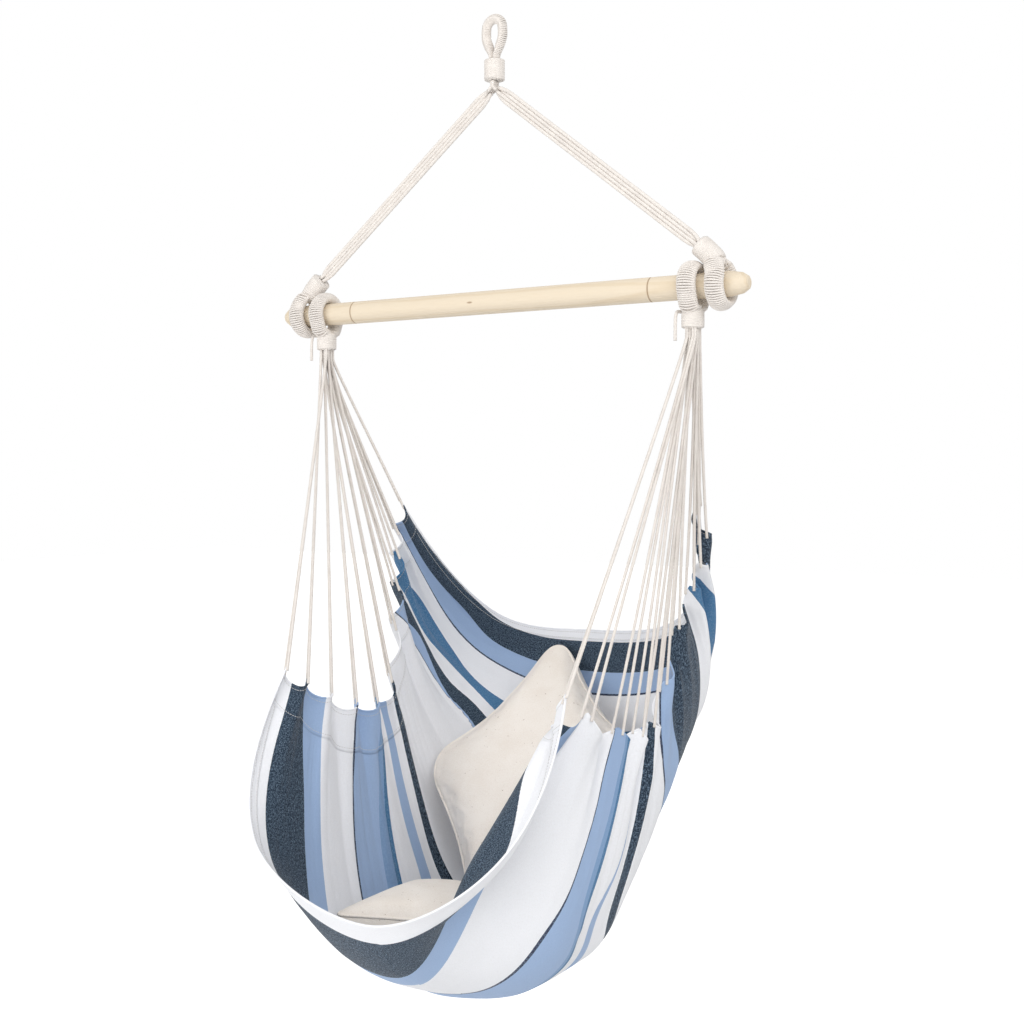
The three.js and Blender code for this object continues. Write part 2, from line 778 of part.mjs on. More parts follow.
/** Front and back grids of a cushion: a crowned open face, and a back that stops at the cloth. */
function cushionGrids(cornerShares, size, inward, cloth) {
  const corners = cornerShares.map((shares) => seatPlace(...shares));
  const ray = new THREE.Raycaster();
  const front = [];
  const back = [];
  let leastRoom = Infinity;
  for (let row = 0; row <= cushionCells; row++) {
    for (let column = 0; column <= cushionCells; column++) {
      const a = (2 * column) / cushionCells - 1;
      const b = (2 * row) / cushionCells - 1;
      const drawA = a * (1 - size.drawShare * (1 - b * b) * a * a);
      const drawB = b * (1 - size.drawShare * (1 - a * a) * b * b);
      const low = corners[0].clone().lerp(corners[1], (drawA + 1) / 2);
      const high = corners[3].clone().lerp(corners[2], (drawA + 1) / 2);
      const point = low.lerp(high, (drawB + 1) / 2);
      const swell = Math.pow((1 - a ** 2) * (1 - b ** 2), 0.6);
      point.addScaledVector(inward, -size.crown * swell);
      ray.set(point, inward);
      const hits = ray.intersectObject(cloth);
      const room = hits.length > 0 ? hits[0].distance - softClearance : Infinity;
      const depth = size.border + (size.thickness - size.border) * swell;
      leastRoom = Math.min(leastRoom, room - depth);
      front.push(point);
      back.push(point.clone().addScaledVector(inward, Math.min(depth, room)));
    }
  }
  console.log(`a cushion's full depth leaves ${leastRoom.toFixed(1)} mm to the cloth where it is least`);
  return { front, back };
}

/** Cover, filling and zip of one cushion; the slot's side counts round from the first corner. */
function buildCushion(name, grids, slotSide) {
  const cells = cushionCells;
  const count = grids.front.length;
  const points = [...grids.front, ...grids.back];
  const ring = gridRing(cells, cells);
  const rim = ring.map((corner, i) => {
    const next = ring[(i + 1) % ring.length];
    return [corner + count, next + count, next, corner];
  });
  const skins = [...gridFaces(cells, cells, 0, false), ...gridFaces(cells, cells, count, true)];
  const all = [...skins, ...rim];
  const normals = pointNormals(points, all);
  const shell = (depth) => points.map((point, i) => point.clone().addScaledVector(normals[i], -depth));

  const firstSlot = slotSide * cells + (cells - slotCells) / 2;
  const inSlot = (i) => i >= firstSlot && i < firstSlot + slotCells;
  const kept = [...skins, ...rim.filter((face, i) => !inSlot(i))];
  const outer = points;
  const inner = shell(coverThickness);
  const slotTop = ring.slice(firstSlot, firstSlot + slotCells + 1);
  const mouth = [...slotTop, ...slotTop.map((corner) => corner + count).reverse()];
  const lips = mouth.map((corner, i) => {
    const next = mouth[(i + 1) % mouth.length];
    return [corner, corner + 2 * count, next + 2 * count, next];
  });
  const coverFaces = [
    ...kept,
    ...kept.map((face) => turned(face.map((corner) => corner + 2 * count))),
    ...lips,
  ];
  addPiece(`${name}_cover`, bodyFrom([...outer, ...inner], coverFaces), cushionCloth);
  addPiece(`${name}_filling`, bodyFrom(shell(coverThickness + fillingGap), all), wadding);
  addPiece(`${name}_zip`, zipBody(slotTop, count, outer, inner), zipTape);
}

/** A zip strip that fills the slot of a cover with a running gap all round. */
function zipBody(slotTop, count, outer, inner) {
  const last = slotTop.length - 1;
  const strip = (points) => {
    const high = slotTop.map((corner) => points[corner].clone());
    const low = slotTop.map((corner) => points[corner + count].clone());
    const place = (row, other, i) => {
      const point = row[i].clone();
      point.addScaledVector(other[i].clone().sub(row[i]).normalize(), clearance);
      if (i === 0 || i === last) {
        const neighbour = i === 0 ? row[1] : row[last - 1];
        point.addScaledVector(neighbour.clone().sub(row[i]).normalize(), clearance);
      }
      return point;
    };
    return [...high.map((point, i) => place(high, low, i)), ...low.map((point, i) => place(low, high, i))];
  };
  const points = [...strip(outer), ...strip(inner)];
  const width = last + 1;
  const faces = gridFaces(1, last, 0, true);
  const ring = gridRing(1, last);
  const rim = ring.map((corner, i) => {
    const next = ring[(i + 1) % ring.length];
    return [corner, next, next + 2 * width, corner + 2 * width];
  });
  const back = faces.map((face) => turned(face.map((corner) => corner + 2 * width)));
  return bodyFrom(points, [...faces, ...back, ...rim]);
}

/** Both cushions, each stopped by the cloth behind or below it. */
function buildCushions(cloth) {
  const corners = pillowCornerShares.map((shares) => seatPlace(...shares));
  const across = corners[1].clone().sub(corners[3]);
  const lengthwise = corners[0].clone().sub(corners[2]);
  const intoBack = across.cross(lengthwise).normalize();
  const pillow = {
    crown: pillowCrown,
    thickness: pillowThickness,
    border: pillowBorder,
    drawShare: 0.06,
  };
  buildCushion('back_cushion', cushionGrids(pillowCornerShares, pillow, intoBack, cloth), 0);
  const pad = { crown: seatPadCrown, thickness: seatPadThickness, border: seatPadBorder, drawShare: 0.06 };
  buildCushion('seat_cushion', cushionGrids(seatPadCornerShares, pad, down, cloth), 2);
}

buildEye();
buildBar();
const clothPieces = buildCloth();
for (const side of [-1, 1]) {
  const sideName = side < 0 ? 'left' : 'right';
  const suspension = `${sideName}_suspension_loop`;
  const seatLoop = `${sideName}_chair_loop`;
  buildSuspensionCords(sideName, side);
  buildLoop(suspension, side, suspensionLoopStation, 1, suspensionLoopTurns, suspensionBindingTurns, leanAt);
  const tied = buildLoop(seatLoop, side, chairLoopStation, -1, chairLoopTurns, chairBindingTurns, () => 0);
  buildChairCords(sideName, side, clothPieces);
  buildTail(sideName, tied);
}
buildCushions(clothPieces[0]);

export default chair;
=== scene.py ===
"""Looks of a hammock chair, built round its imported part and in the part's own frame.

Lengths are in metres. X runs along the spreader bar, -Y is the open front, Z is up, and the
origin is the point of the hanging eye that bears on its hook. The routes of the cords, the ribs
of the cloth and the corners of the cushions repeat those of the part's source.
"""

import logging
import math
from collections.abc import Callable, Sequence
from dataclasses import dataclass
from enum import Enum

import bpy
import numpy as np
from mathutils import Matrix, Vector
from mathutils.bvhtree import BVHTree


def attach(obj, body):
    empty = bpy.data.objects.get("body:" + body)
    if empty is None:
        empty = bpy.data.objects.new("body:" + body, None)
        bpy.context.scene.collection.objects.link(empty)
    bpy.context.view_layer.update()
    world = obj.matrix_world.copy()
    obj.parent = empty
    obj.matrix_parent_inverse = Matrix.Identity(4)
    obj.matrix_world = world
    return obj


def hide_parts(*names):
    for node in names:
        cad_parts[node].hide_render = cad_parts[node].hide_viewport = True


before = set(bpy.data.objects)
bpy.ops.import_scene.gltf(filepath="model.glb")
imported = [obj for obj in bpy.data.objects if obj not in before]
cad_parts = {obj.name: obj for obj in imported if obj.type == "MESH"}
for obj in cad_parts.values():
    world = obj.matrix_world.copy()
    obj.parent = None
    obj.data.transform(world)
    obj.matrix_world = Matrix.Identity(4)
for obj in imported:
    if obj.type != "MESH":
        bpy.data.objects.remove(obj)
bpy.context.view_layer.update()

LOG = logging.getLogger("hammock_chair")
MM = 0.001
Colour = tuple[float, float, float]
Place = tuple[float, float, float]
Points = np.ndarray
Material = bpy.types.Material
Piece = bpy.types.Object
Socket = bpy.types.NodeSocket

UP = np.array([0.0, 0.0, 1.0])
ALONG_BAR = np.array([1.0, 0.0, 0.0])
AFT = np.array([0.0, 1.0, 0.0])

# Sizes that several sub-assemblies share, as in the part's source
BAR_DROP = 450 * MM
CHAIR_LOOP_STATION = 347 * MM
SUSPENSION_LOOP_STATION = 391 * MM
SUSPENSION_LEAN = 34 * MM
SUSPENSION_FOOT = SUSPENSION_LOOP_STATION - SUSPENSION_LEAN
LOOP_THROAT = 32 * MM
LOOP_END = 62 * MM
CORD_DIAMETER = 5 * MM
CORD_PACKING = 5.7 * MM
EYE_LENGTH = 58 * MM
NECK_LENGTH = 34 * MM
GATHER_DROP = 102.6 * MM
# The share of a yarn's diameter by which a bundle fills the grooves under its turns
GROOVE_FILL = 0.38


class Side(Enum):
    """The two sides of the chair, as seen from its open front."""

    LEFT = -1
    RIGHT = 1

    @property
    def word(self) -> str:
        """The side's name as the nodes have it."""
        return self.name.lower()


def unit(vectors: Points) -> Points:
    """Vectors of length one."""
    return vectors / np.linalg.norm(vectors, axis=-1, keepdims=True)


def square_to(tangents: Points, reference: Points) -> Points:
    """The part of a reference direction that lies square to each tangent."""
    inline = (tangents * reference).sum(-1, keepdims=True)
    return unit(reference - inline * tangents)


def reach_along(route: Points) -> Points:
    """The distance of each point of a route from its start."""
    return np.concatenate([[0.0], np.cumsum(np.linalg.norm(np.diff(route, axis=0), axis=1))])


def read_along(values: Points, reach: Points, places: Points) -> Points:
    """Vectors read off at places along a route, from those at its points and the points' reach."""
    return np.column_stack([np.interp(places, reach, values[:, axis]) for axis in range(3)])


def spaced(route: Points, spacing: float) -> Points:
    """Points an even distance apart along a route.

    Args:
        route: Points of the route.
        spacing: The wanted distance between neighbours.

    Returns:
        The new points, both ends kept.
    """
    reach = reach_along(route)
    places = np.linspace(0, reach[-1], max(round(reach[-1] / spacing), 2) + 1)
    return read_along(route, reach, places)


def flowing(controls: Sequence[Sequence[float]], cells: int = 12) -> Points:
    """A smooth route through control points.

    Args:
        controls: The points that the route passes.
        cells: The number of steps between two of them.

    Returns:
        Points of the route.
    """
    given = np.asarray(controls, float)
    padded = np.vstack([2 * given[0] - given[1], given, 2 * given[-1] - given[-2]])
    u = np.linspace(0, 1, cells, endpoint=False)[:, None]
    parts = []
    for a, b, c, d in zip(padded, padded[1:], padded[2:], padded[3:]):
        bend = 2 * a - 5 * b + 4 * c - d
        parts.append(0.5 * (2 * b + (c - a) * u + bend * u**2 + (3 * (b - c) + d - a) * u**3))
    return np.vstack([*parts, given[-1:]])


def bezier(controls: Sequence[Points], steps: int) -> Points:
    """Points of a cubic curve with four control points."""
    u = np.linspace(0, 1, steps + 1)[:, None]
    a, b, c, d = controls
    return (1 - u) ** 3 * a + 3 * u * (1 - u) ** 2 * b + 3 * u**2 * (1 - u) * c + u**3 * d


def smoothstep(values: Points, low: float, high: float) -> Points:
    """Values eased from 0 at low to 1 at high."""
    share = np.clip((values - low) / (high - low), 0, 1)
    return share * share * (3 - 2 * share)


def hermite(share: Points, start: Points, end: Points, leaving: Points, reaching: Points) -> Points:
    """A smooth step between two values.

    Args:
        share: How far along the step, from 0 to 1.
        start: The value at its start.
        end: The value at its end.
        leaving: The slope over the whole step at its start.
        reaching: The slope over the whole step at its end.

    Returns:
        The value there.
    """
    square, cube = share**2, share**3
    point = (2 * cube - 3 * square + 1) * start + (3 * square - 2 * cube) * end
    return point + (cube - 2 * square + share) * leaving + (cube - square) * reaching


def placed(name: str, data: bpy.types.ID) -> Piece:
    """Makes an object and links it into the scene."""
    made = bpy.data.objects.new(name, data)
    bpy.context.scene.collection.objects.link(made)
    return made


def dress(mesh: bpy.types.Mesh, material: Material) -> None:
    """Gives a mesh one material in place of its own."""
    mesh.materials.clear()
    mesh.materials.append(material)


class Shape:
    """Closed bodies gathered into one mesh.

    Its UV map holds the distance along a body in metres. Across a body it holds metres on a sheet,
    and shares of a turn on a tube.
    """

    def __init__(self) -> None:
        """Starts with no bodies."""
        self.points: list[Points] = []
        self.faces: list[Points] = []
        self.places: list[Points] = []
        self.count = 0

    def add(self, points: Points, faces: Sequence[Points], places: Sequence[Points]) -> None:
        """Adds a body.

        Args:
            points: Its points.
            faces: Arrays of faces, each array with one number of corners.
            places: The UV place of each corner of those faces.
        """
        self.points.append(points)
        for rows, spots in zip(faces, places):
            self.faces.append(rows + self.count)
            self.places.append(spots.reshape(-1, 2))
        self.count += len(points)

    def tube(self, route: Points, section: Points, turn: float = 0.0, swell: Points | None = None) -> None:
        """Adds a closed tube.

        Args:
            route: Points along its middle.
            section: The outline of its section, round from any point.
            turn: How far the section turns in each metre, in radians.
            swell: A scale of the section at each point of the route.
        """
        tangents = unit(np.gradient(route, axis=0))
        first = ALONG_BAR if abs(tangents[0][0]) < 0.8 else AFT
        normals = np.empty_like(route)
        normals[0] = square_to(tangents[0], first)
        for i in range(1, len(route)):
            normals[i] = square_to(tangents[i], normals[i - 1])
        binormals = np.cross(tangents, normals)
        reach = reach_along(route)
        cosine = np.cos(turn * reach)[:, None]
        sine = np.sin(turn * reach)[:, None]
        scale = np.ones(len(route)) if swell is None else swell
        out = (section[:, 0] * cosine - section[:, 1] * sine) * scale[:, None]
        over = (section[:, 0] * sine + section[:, 1] * cosine) * scale[:, None]
        rings = route[:, None] + out[..., None] * normals[:, None] + over[..., None] * binormals[:, None]
        self.skin(rings, reach)

    def skin(self, rings: Points, reach: Points, around: float = 1.0) -> None:
        """Adds a closed body from its rings of points.

        Args:
            rings: The points, as rings with the same number of points.
            reach: The UV place of each ring along the body.
            around: The UV place at the end of one turn round it.
        """
        rows, sides = rings.shape[:2]
        side = np.arange(sides)
        near = np.arange(rows - 1)[:, None] * sides + side
        far = near - side + (side + 1) % sides
        quads = np.stack([near, far, far + sides, near + sides], -1).reshape(-1, 4)
        start = np.broadcast_to(around * side / sides, near.shape)
        end = start + around / sides
        low = np.broadcast_to(reach[:-1, None], near.shape)
        high = np.broadcast_to(reach[1:, None], near.shape)
        spots = np.stack([start, low, end, low, end, high, start, high], -1)
        caps = np.stack([side[::-1], side + (rows - 1) * sides])
        flat = np.zeros((2, sides, 2))
        flat[1, :, 1] = reach[-1]
        self.add(rings.reshape(-1, 3), [quads, caps], [spots, flat])

    def sheet(self, middle: Points, normals: Points, near: float, far: float, spots: Points) -> None:
        """Adds a sheet of even thickness over a grid.

        Args:
            middle: Points of the grid, as rows and columns.
            normals: The unit normal at each.
            near: The offset of the under side along the normals.
            far: The offset of the upper side.
            spots: The UV place of each point.
        """
        rows, columns = middle.shape[:2]
        corner = np.arange(rows * columns).reshape(rows, columns)
        a, b, c, d = corner[:-1, :-1], corner[:-1, 1:], corner[1:, 1:], corner[1:, :-1]
        under = np.stack([a, d, c, b], -1).reshape(-1, 4)
        over = np.stack([a, b, c, d], -1).reshape(-1, 4) + corner.size
        ring = np.concatenate([corner[0, :-1], corner[:-1, -1], corner[-1, :0:-1], corner[:0:-1, 0]])
        onward = np.roll(ring, -1)
        rim = np.stack([ring + corner.size, ring, onward, onward + corner.size], -1)
        points = np.concatenate([(middle + normals * offset).reshape(-1, 3) for offset in (near, far)])
        flat = np.concatenate([spots.reshape(-1, 2)] * 2)
        faces = [under, over, rim]
        self.add(points, faces, [flat[rows_of] for rows_of in faces])

    def piece(self, name: str, material: Material) -> Piece:
        """Makes the mesh.

        Args:
            name: The piece's name.
            material: Its material.

        Returns:
            The new object, linked into the scene.
        """
        mesh = bpy.data.meshes.new(name)
        corners = np.concatenate([rows.ravel() for rows in self.faces])
        totals = np.concatenate([np.full(len(rows), rows.shape[1]) for rows in self.faces])
        mesh.vertices.add(self.count)
        mesh.vertices.foreach_set("co", np.concatenate(self.points).astype(np.float32).ravel())
        mesh.loops.add(len(corners))
        mesh.loops.foreach_set("vertex_index", corners.astype(np.int32))
        mesh.polygons.add(len(totals))
        mesh.polygons.foreach_set("loop_start", (np.cumsum(totals) - totals).astype(np.int32))
        mesh.update(calc_edges=True)
        layer = mesh.uv_layers.new(name="places")
        layer.data.foreach_set("uv", np.concatenate(self.places).astype(np.float32).ravel())
        mesh.shade_smooth()
        mesh.materials.append(material)
        return placed(name, mesh)


def settle(piece: Piece, body: str, slot: str, *nodes: str) -> Piece:
    """Puts a piece on its body and hides the nodes that it stands for.

    Args:
        piece: The piece.
        body: The body that it rides on.
        slot: Not used.
        nodes: The nodes that it replaces.

    Returns:
        The piece.
    """
    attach(piece, body)
    if nodes:
        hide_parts(*nodes)
    LOG.info("%s rides on %s with %d faces", piece.name, body, len(piece.data.polygons))
    return piece


def as_linear(red: int, green: int, blue: int) -> Colour:
    """A display colour in the linear values that shaders take."""
    shares = np.array([red, green, blue]) / 255
    low = shares / 12.92
    high = ((shares + 0.055) / 1.055) ** 2.4
    return tuple(float(value) for value in np.where(shares <= 0.04045, low, high))


class NodeSheet:
    """A material's node tree with short calls for the nodes that the finishes use."""

    def __init__(self, name: str, roughness: float, sheen: float) -> None:
        """Starts a material with one shader.

        Args:
            name: The material's name.
            roughness: The shader's roughness.
            sheen: The weight of the shader's sheen.
        """
        self.material = bpy.data.materials.new(name)
        self.material.use_nodes = True
        self.tree = self.material.node_tree
        self.shader = self.tree.nodes["Principled BSDF"]
        self.shader.inputs["Roughness"].default_value = roughness
        self.shader.inputs["Sheen Weight"].default_value = sheen
        self.shader.inputs["Sheen Roughness"].default_value = 0.5
        self.shader.inputs["Specular IOR Level"].default_value = 0.3

    def node(self, kind: str, inputs: dict | None = None, **settings: object) -> bpy.types.Node:
        """Adds a node.

        Args:
            kind: Its type, without the ShaderNode at the start.
            inputs: A value or a socket for each input, by name or number.
            settings: The node's own settings.

        Returns:
            The node.
        """
        made = self.tree.nodes.new(f"ShaderNode{kind}")
        for name, value in settings.items():
            setattr(made, name, value)
        for name, value in (inputs or {}).items():
            if isinstance(value, Socket):
                self.tree.links.new(value, made.inputs[name])
            else:
                made.inputs[name].default_value = value
        return made

    def sum(self, kind: str, *values: object) -> Socket:
        """The result of a Math node on one to three values."""
        return self.node("Math", dict(enumerate(values)), operation=kind).outputs[0]

    def vector(self, kind: str, *values: object) -> bpy.types.Node:
        """A VectorMath node on one or two vectors."""
        return self.node("VectorMath", dict(enumerate(values)), operation=kind)

    def own_place(self) -> Socket:
        """Places on the piece's own axes."""
        return self.node("TexCoord").outputs["Object"]

    def laid_place(self) -> Socket:
        """Places on the piece's UV map, as its Shape has them."""
        return self.node("UVMap", uv_map="places").outputs[0]

    def noise(self, place: Socket, scale: Place | float, detail: float = 2.0) -> Socket:
        """Noise from 0 to 1.

        Args:
            place: The places that it is read at.
            scale: Its scale along each axis, or one for all three.
            detail: How many finer layers it has.

        Returns:
            The socket of the noise.
        """
        scales = scale if isinstance(scale, tuple) else (scale,) * 3
        mapped = self.node("Mapping", {"Vector": place, "Scale": scales})
        made = self.node("TexNoise", {"Vector": mapped.outputs[0], "Scale": 1.0, "Detail": detail})
        return made.outputs["Fac"]

    def mixed(self, share: object, first: object, second: object, blend: str = "MIX") -> Socket:
        """A mix of two colours."""
        made = self.node("Mix", data_type="RGBA", blend_type=blend)
        for socket, value in ((made.inputs[0], share), (made.inputs[6], first), (made.inputs[7], second)):
            if isinstance(value, Socket):
                self.tree.links.new(value, socket)
            else:
                socket.default_value = (*value, 1.0) if isinstance(value, tuple) else value
        return made.outputs[2]

    def eased(self, value: object, low: float, high: float) -> Socket:
        """A value mapped smoothly from 0 at low to 1 at high."""
        inputs = {"Value": value, "From Min": low, "From Max": high}
        return self.node("MapRange", inputs, interpolation_type="SMOOTHSTEP").outputs[0]

    def finish(self, colour: object, height: object, relief: float) -> Material:
        """Joins a colour and a height to the shader.

        Args:
            colour: The socket of the colour.
            height: The socket of the height, from 0 to 1.
            relief: The height's depth in metres.

        Returns:
            The material.
        """
        self.tree.links.new(colour, self.shader.inputs["Base Color"])
        bump = self.node("Bump", {"Height": height, "Distance": relief, "Strength": 1.0})
        self.tree.links.new(bump.outputs[0], self.shader.inputs["Normal"])
        return self.material


@dataclass(frozen=True)
class CottonFinish:
    """Undyed cotton yarn: fine plies that run slantwise round the cord, and a soft nap."""

    name: str
    pale: Colour = as_linear(233, 227, 221)
    shade: Colour = as_linear(222, 215, 209)
    plies: float = 5.0
    slant: float = 900.0
    nap_scale: float = 900.0
    drift_scale: float = 60.0
    relief: float = 0.2 * MM

    def material(self) -> Material:
        """The finish as a material."""
        sheet = NodeSheet(self.name, roughness=0.88, sheen=0.25)
        place = sheet.laid_place()
        parts = sheet.node("SeparateXYZ", {0: place})
        ply = sheet.sum("MULTIPLY", parts.outputs[0], 2 * math.pi * self.plies)
        slanted = sheet.sum("SINE", sheet.sum("MULTIPLY_ADD", parts.outputs[1], self.slant, ply))
        at = sheet.own_place()
        nap = sheet.noise(at, self.nap_scale, 4)
        drift = sheet.noise(at, self.drift_scale, 2)
        height = sheet.sum("MULTIPLY_ADD", slanted, 0.25, nap)
        cloudy = sheet.sum("MULTIPLY_ADD", nap, 0.5, sheet.sum("MULTIPLY", drift, 0.5))
        share = sheet.eased(cloudy, 0.3, 0.6)
        return sheet.finish(sheet.mixed(share, self.shade, self.pale), height, self.relief)


@dataclass(frozen=True)
class PineFinish:
    """Pale turned pine: faint long grain, one small knot, and painted shade with dirt darkening the two
    grooves.
    """

    name: str = "turned_pine"
    pale: Colour = as_linear(226, 212, 190)
    grain: Colour = as_linear(216, 198, 170)
    # A dark brown for the knot, and for the painted shade with dirt in the grooves
    mark: Colour = as_linear(150, 122, 92)
    groove: float = 281 * MM
    groove_shade_half: float = 0.9 * MM
    knot: Place = (-36 * MM, -18.6 * MM, -450.5 * MM)
    knot_radius: float = 2.2 * MM
    knot_length: float = 3.2
    ring_turns: float = 520.0
    ring_bend: float = 20.0
    bend_scale: Place = (2.2, 26, 26)
    pore_scale: Place = (40, 1500, 1500)
    relief: float = 0.08 * MM

    def material(self) -> Material:
        """The finish as a material."""
        sheet = NodeSheet(self.name, roughness=0.5, sheen=0.0)
        at = sheet.own_place()
        bent = sheet.noise(at, self.bend_scale, 2)
        parts = sheet.node("SeparateXYZ", {0: at})
        straight = sheet.sum("MULTIPLY", parts.outputs[1], self.ring_turns)
        rings = sheet.sum("MULTIPLY_ADD", bent, self.ring_bend, straight)
        band = sheet.sum("MULTIPLY_ADD", sheet.sum("SINE", rings), 0.5, 0.5)
        late = sheet.eased(band, 0.55, 1.0)
        pores = sheet.noise(at, self.pore_scale, 3)
        fine = sheet.sum("MULTIPLY", sheet.eased(pores, 0.45, 0.8), 0.35)
        share = sheet.sum("MULTIPLY_ADD", late, 0.5, fine)
        wood = sheet.mixed(share, self.pale, self.grain)
        # Painted shade with dirt: a narrow dark ring in each groove, where the real grooves hold shadow and
        # dirt
        to_groove = sheet.sum("SUBTRACT", sheet.sum("ABSOLUTE", parts.outputs[0]), self.groove)
        line = sheet.eased(sheet.sum("ABSOLUTE", to_groove), 2 * self.groove_shade_half, 0.5 * self.groove_shade_half)
        from_knot = sheet.vector("SUBTRACT", at, self.knot).outputs[0]
        squat = sheet.vector("MULTIPLY", from_knot, (1 / self.knot_length, 1, 1)).outputs[0]
        reach = sheet.vector("LENGTH", squat).outputs[1]
        knot = sheet.eased(reach, self.knot_radius, 0.4 * self.knot_radius)
        # The knot and the painted groove shade, mixed into the wood
        knot_and_shade_share = sheet.sum("MULTIPLY", sheet.sum("MAXIMUM", line, knot), 0.75)
        colour = sheet.mixed(knot_and_shade_share, wood, self.mark)
        return sheet.finish(colour, share, self.relief)


class Dye(Enum):
    """Colours of the yarn in the striped cloth."""

    WHITE = as_linear(242, 243, 247)
    NAVY = as_linear(22, 39, 56)
    LIGHT = as_linear(158, 182, 217)
    MID = as_linear(126, 158, 198)
    TEAL = as_linear(64, 114, 156)
    LINE = as_linear(34, 38, 66)


# Stripes from the front hem to the back hem, each with its width in millimetres
STRIPES = (
    (Dye.WHITE, 45), (Dye.NAVY, 95), (Dye.LIGHT, 45), (Dye.WHITE, 115), (Dye.LINE, 4), (Dye.LIGHT, 75),
    (Dye.MID, 21), (Dye.TEAL, 9), (Dye.WHITE, 45), (Dye.LIGHT, 35), (Dye.WHITE, 35), (Dye.NAVY, 18),
    (Dye.WHITE, 120), (Dye.LINE, 4), (Dye.LIGHT, 60), (Dye.NAVY, 90), (Dye.WHITE, 40), (Dye.TEAL, 60),
    (Dye.WHITE, 85), (Dye.LINE, 4), (Dye.LIGHT, 50), (Dye.NAVY, 70), (Dye.WHITE, 30),
)
CLOTH_LENGTH = sum(width for _, width in STRIPES) * MM


@dataclass(frozen=True)
class StripedFinish:
    """Warp-striped cotton canvas: dyed yarns crossed by white ones, with slubs in both."""

    name: str = "striped_canvas"
    fleck: Colour = as_linear(160, 186, 212)
    fleck_share: float = 0.4
    slub_start: float = 0.52
    slub_full: float = 0.66
    slub_fine: float = 900.0
    slub_long: float = 260.0
    waver: float = 0.8 * MM
    waver_scale: Place = (180, 20, 1)
    thread: float = 1.1 * MM
    creases: float = 9.0
    crease_scale: Place = (38, 38, 24)
    relief: float = 0.25 * MM

    def material(self) -> Material:
        """The finish as a material."""
        sheet = NodeSheet(self.name, roughness=0.86, sheen=0.15)
        place = sheet.laid_place()
        parts = sheet.node("SeparateXYZ", {0: place})
        waver = sheet.noise(place, self.waver_scale, 1)
        least = sheet.sum("SUBTRACT", parts.outputs[1], self.waver / 2)
        along = sheet.sum("MULTIPLY_ADD", waver, self.waver, least)
        ramp = sheet.node("ValToRGB", {0: sheet.sum("DIVIDE", along, CLOTH_LENGTH)})
        ramp.color_ramp.interpolation = "CONSTANT"
        start = 0.0
        for index, (dye, width) in enumerate(STRIPES):
            stops = ramp.color_ramp.elements
            stop = stops[index] if index < 2 else stops.new(start / CLOTH_LENGTH)
            stop.position = start / CLOTH_LENGTH
            stop.color = (*dye.value, 1.0)
            start += width * MM
        dyed = ramp.outputs[0]
        weft = sheet.noise(place, (self.slub_long, self.slub_fine, 1), 3)
        warp = sheet.noise(place, (self.slub_fine, self.slub_long, 1), 3)
        dark = sheet.sum("SUBTRACT", 1.0, sheet.node("RGBToBW", {0: dyed}).outputs[0])
        slub = sheet.eased(sheet.sum("MAXIMUM", weft, warp), self.slub_start, self.slub_full)
        share = sheet.sum("MULTIPLY", sheet.sum("MULTIPLY", slub, dark), self.fleck_share)
        flecked = sheet.mixed(share, dyed, self.fleck)
        tone = sheet.sum("MULTIPLY_ADD", sheet.sum("ADD", weft, warp), 0.16, 0.84)
        greyed = sheet.node("CombineColor", {0: tone, 1: tone, 2: tone}).outputs[0]
        colour = sheet.mixed(1.0, flecked, greyed, "MULTIPLY")
        turns = 2 * math.pi / self.thread
        over = sheet.sum("SINE", sheet.sum("MULTIPLY", parts.outputs[0], turns))
        under = sheet.sum("SINE", sheet.sum("MULTIPLY", parts.outputs[1], turns))
        crossing = sheet.sum("MULTIPLY", over, under)
        weave = sheet.sum("MULTIPLY_ADD", crossing, 0.3, sheet.sum("ADD", weft, warp))
        at = sheet.own_place()
        creased = sheet.sum("MULTIPLY_ADD", sheet.noise(at, self.crease_scale, 3), self.creases, weave)
        return sheet.finish(colour, creased, self.relief)


@dataclass(frozen=True)
class CushionFinish:
    """Natural cotton canvas: an even weave on the cushion's own axes, with brown seed flecks."""

    name: str
    across: Points
    along: Points
    pale: Colour = as_linear(248, 241, 233)
    shade: Colour = as_linear(240, 231, 221)
    seed: Colour = as_linear(158, 138, 120)
    seed_share: float = 0.7
    seed_start: float = 0.735
    seed_full: float = 0.78
    seed_scale: float = 260.0
    nap_scale: float = 700.0
    drift_scale: float = 22.0
    thread: float = 1.3 * MM
    relief: float = 0.3 * MM

    def material(self) -> Material:
        """The finish as a material."""
        sheet = NodeSheet(self.name, roughness=0.92, sheen=0.2)
        at = sheet.own_place()
        waves = []
        for axis in (self.across, self.along):
            reach = sheet.vector("DOT_PRODUCT", at, tuple(axis)).outputs[1]
            waves.append(sheet.sum("SINE", sheet.sum("MULTIPLY", reach, 2 * math.pi / self.thread)))
        nap = sheet.noise(at, self.nap_scale, 3)
        drift = sheet.noise(at, self.drift_scale, 2)
        weave = sheet.sum("MULTIPLY_ADD", sheet.sum("MULTIPLY", *waves), 0.35, nap)
        cloudy = sheet.sum("MULTIPLY_ADD", nap, 0.6, sheet.sum("MULTIPLY", drift, 0.4))
        cloth = sheet.mixed(sheet.eased(cloudy, 0.38, 0.6), self.shade, self.pale)
        seeds = sheet.eased(sheet.noise(at, self.seed_scale, 1), self.seed_start, self.seed_full)
        colour = sheet.mixed(sheet.sum("MULTIPLY", seeds, self.seed_share), cloth, self.seed)
        return sheet.finish(colour, weave, self.relief)


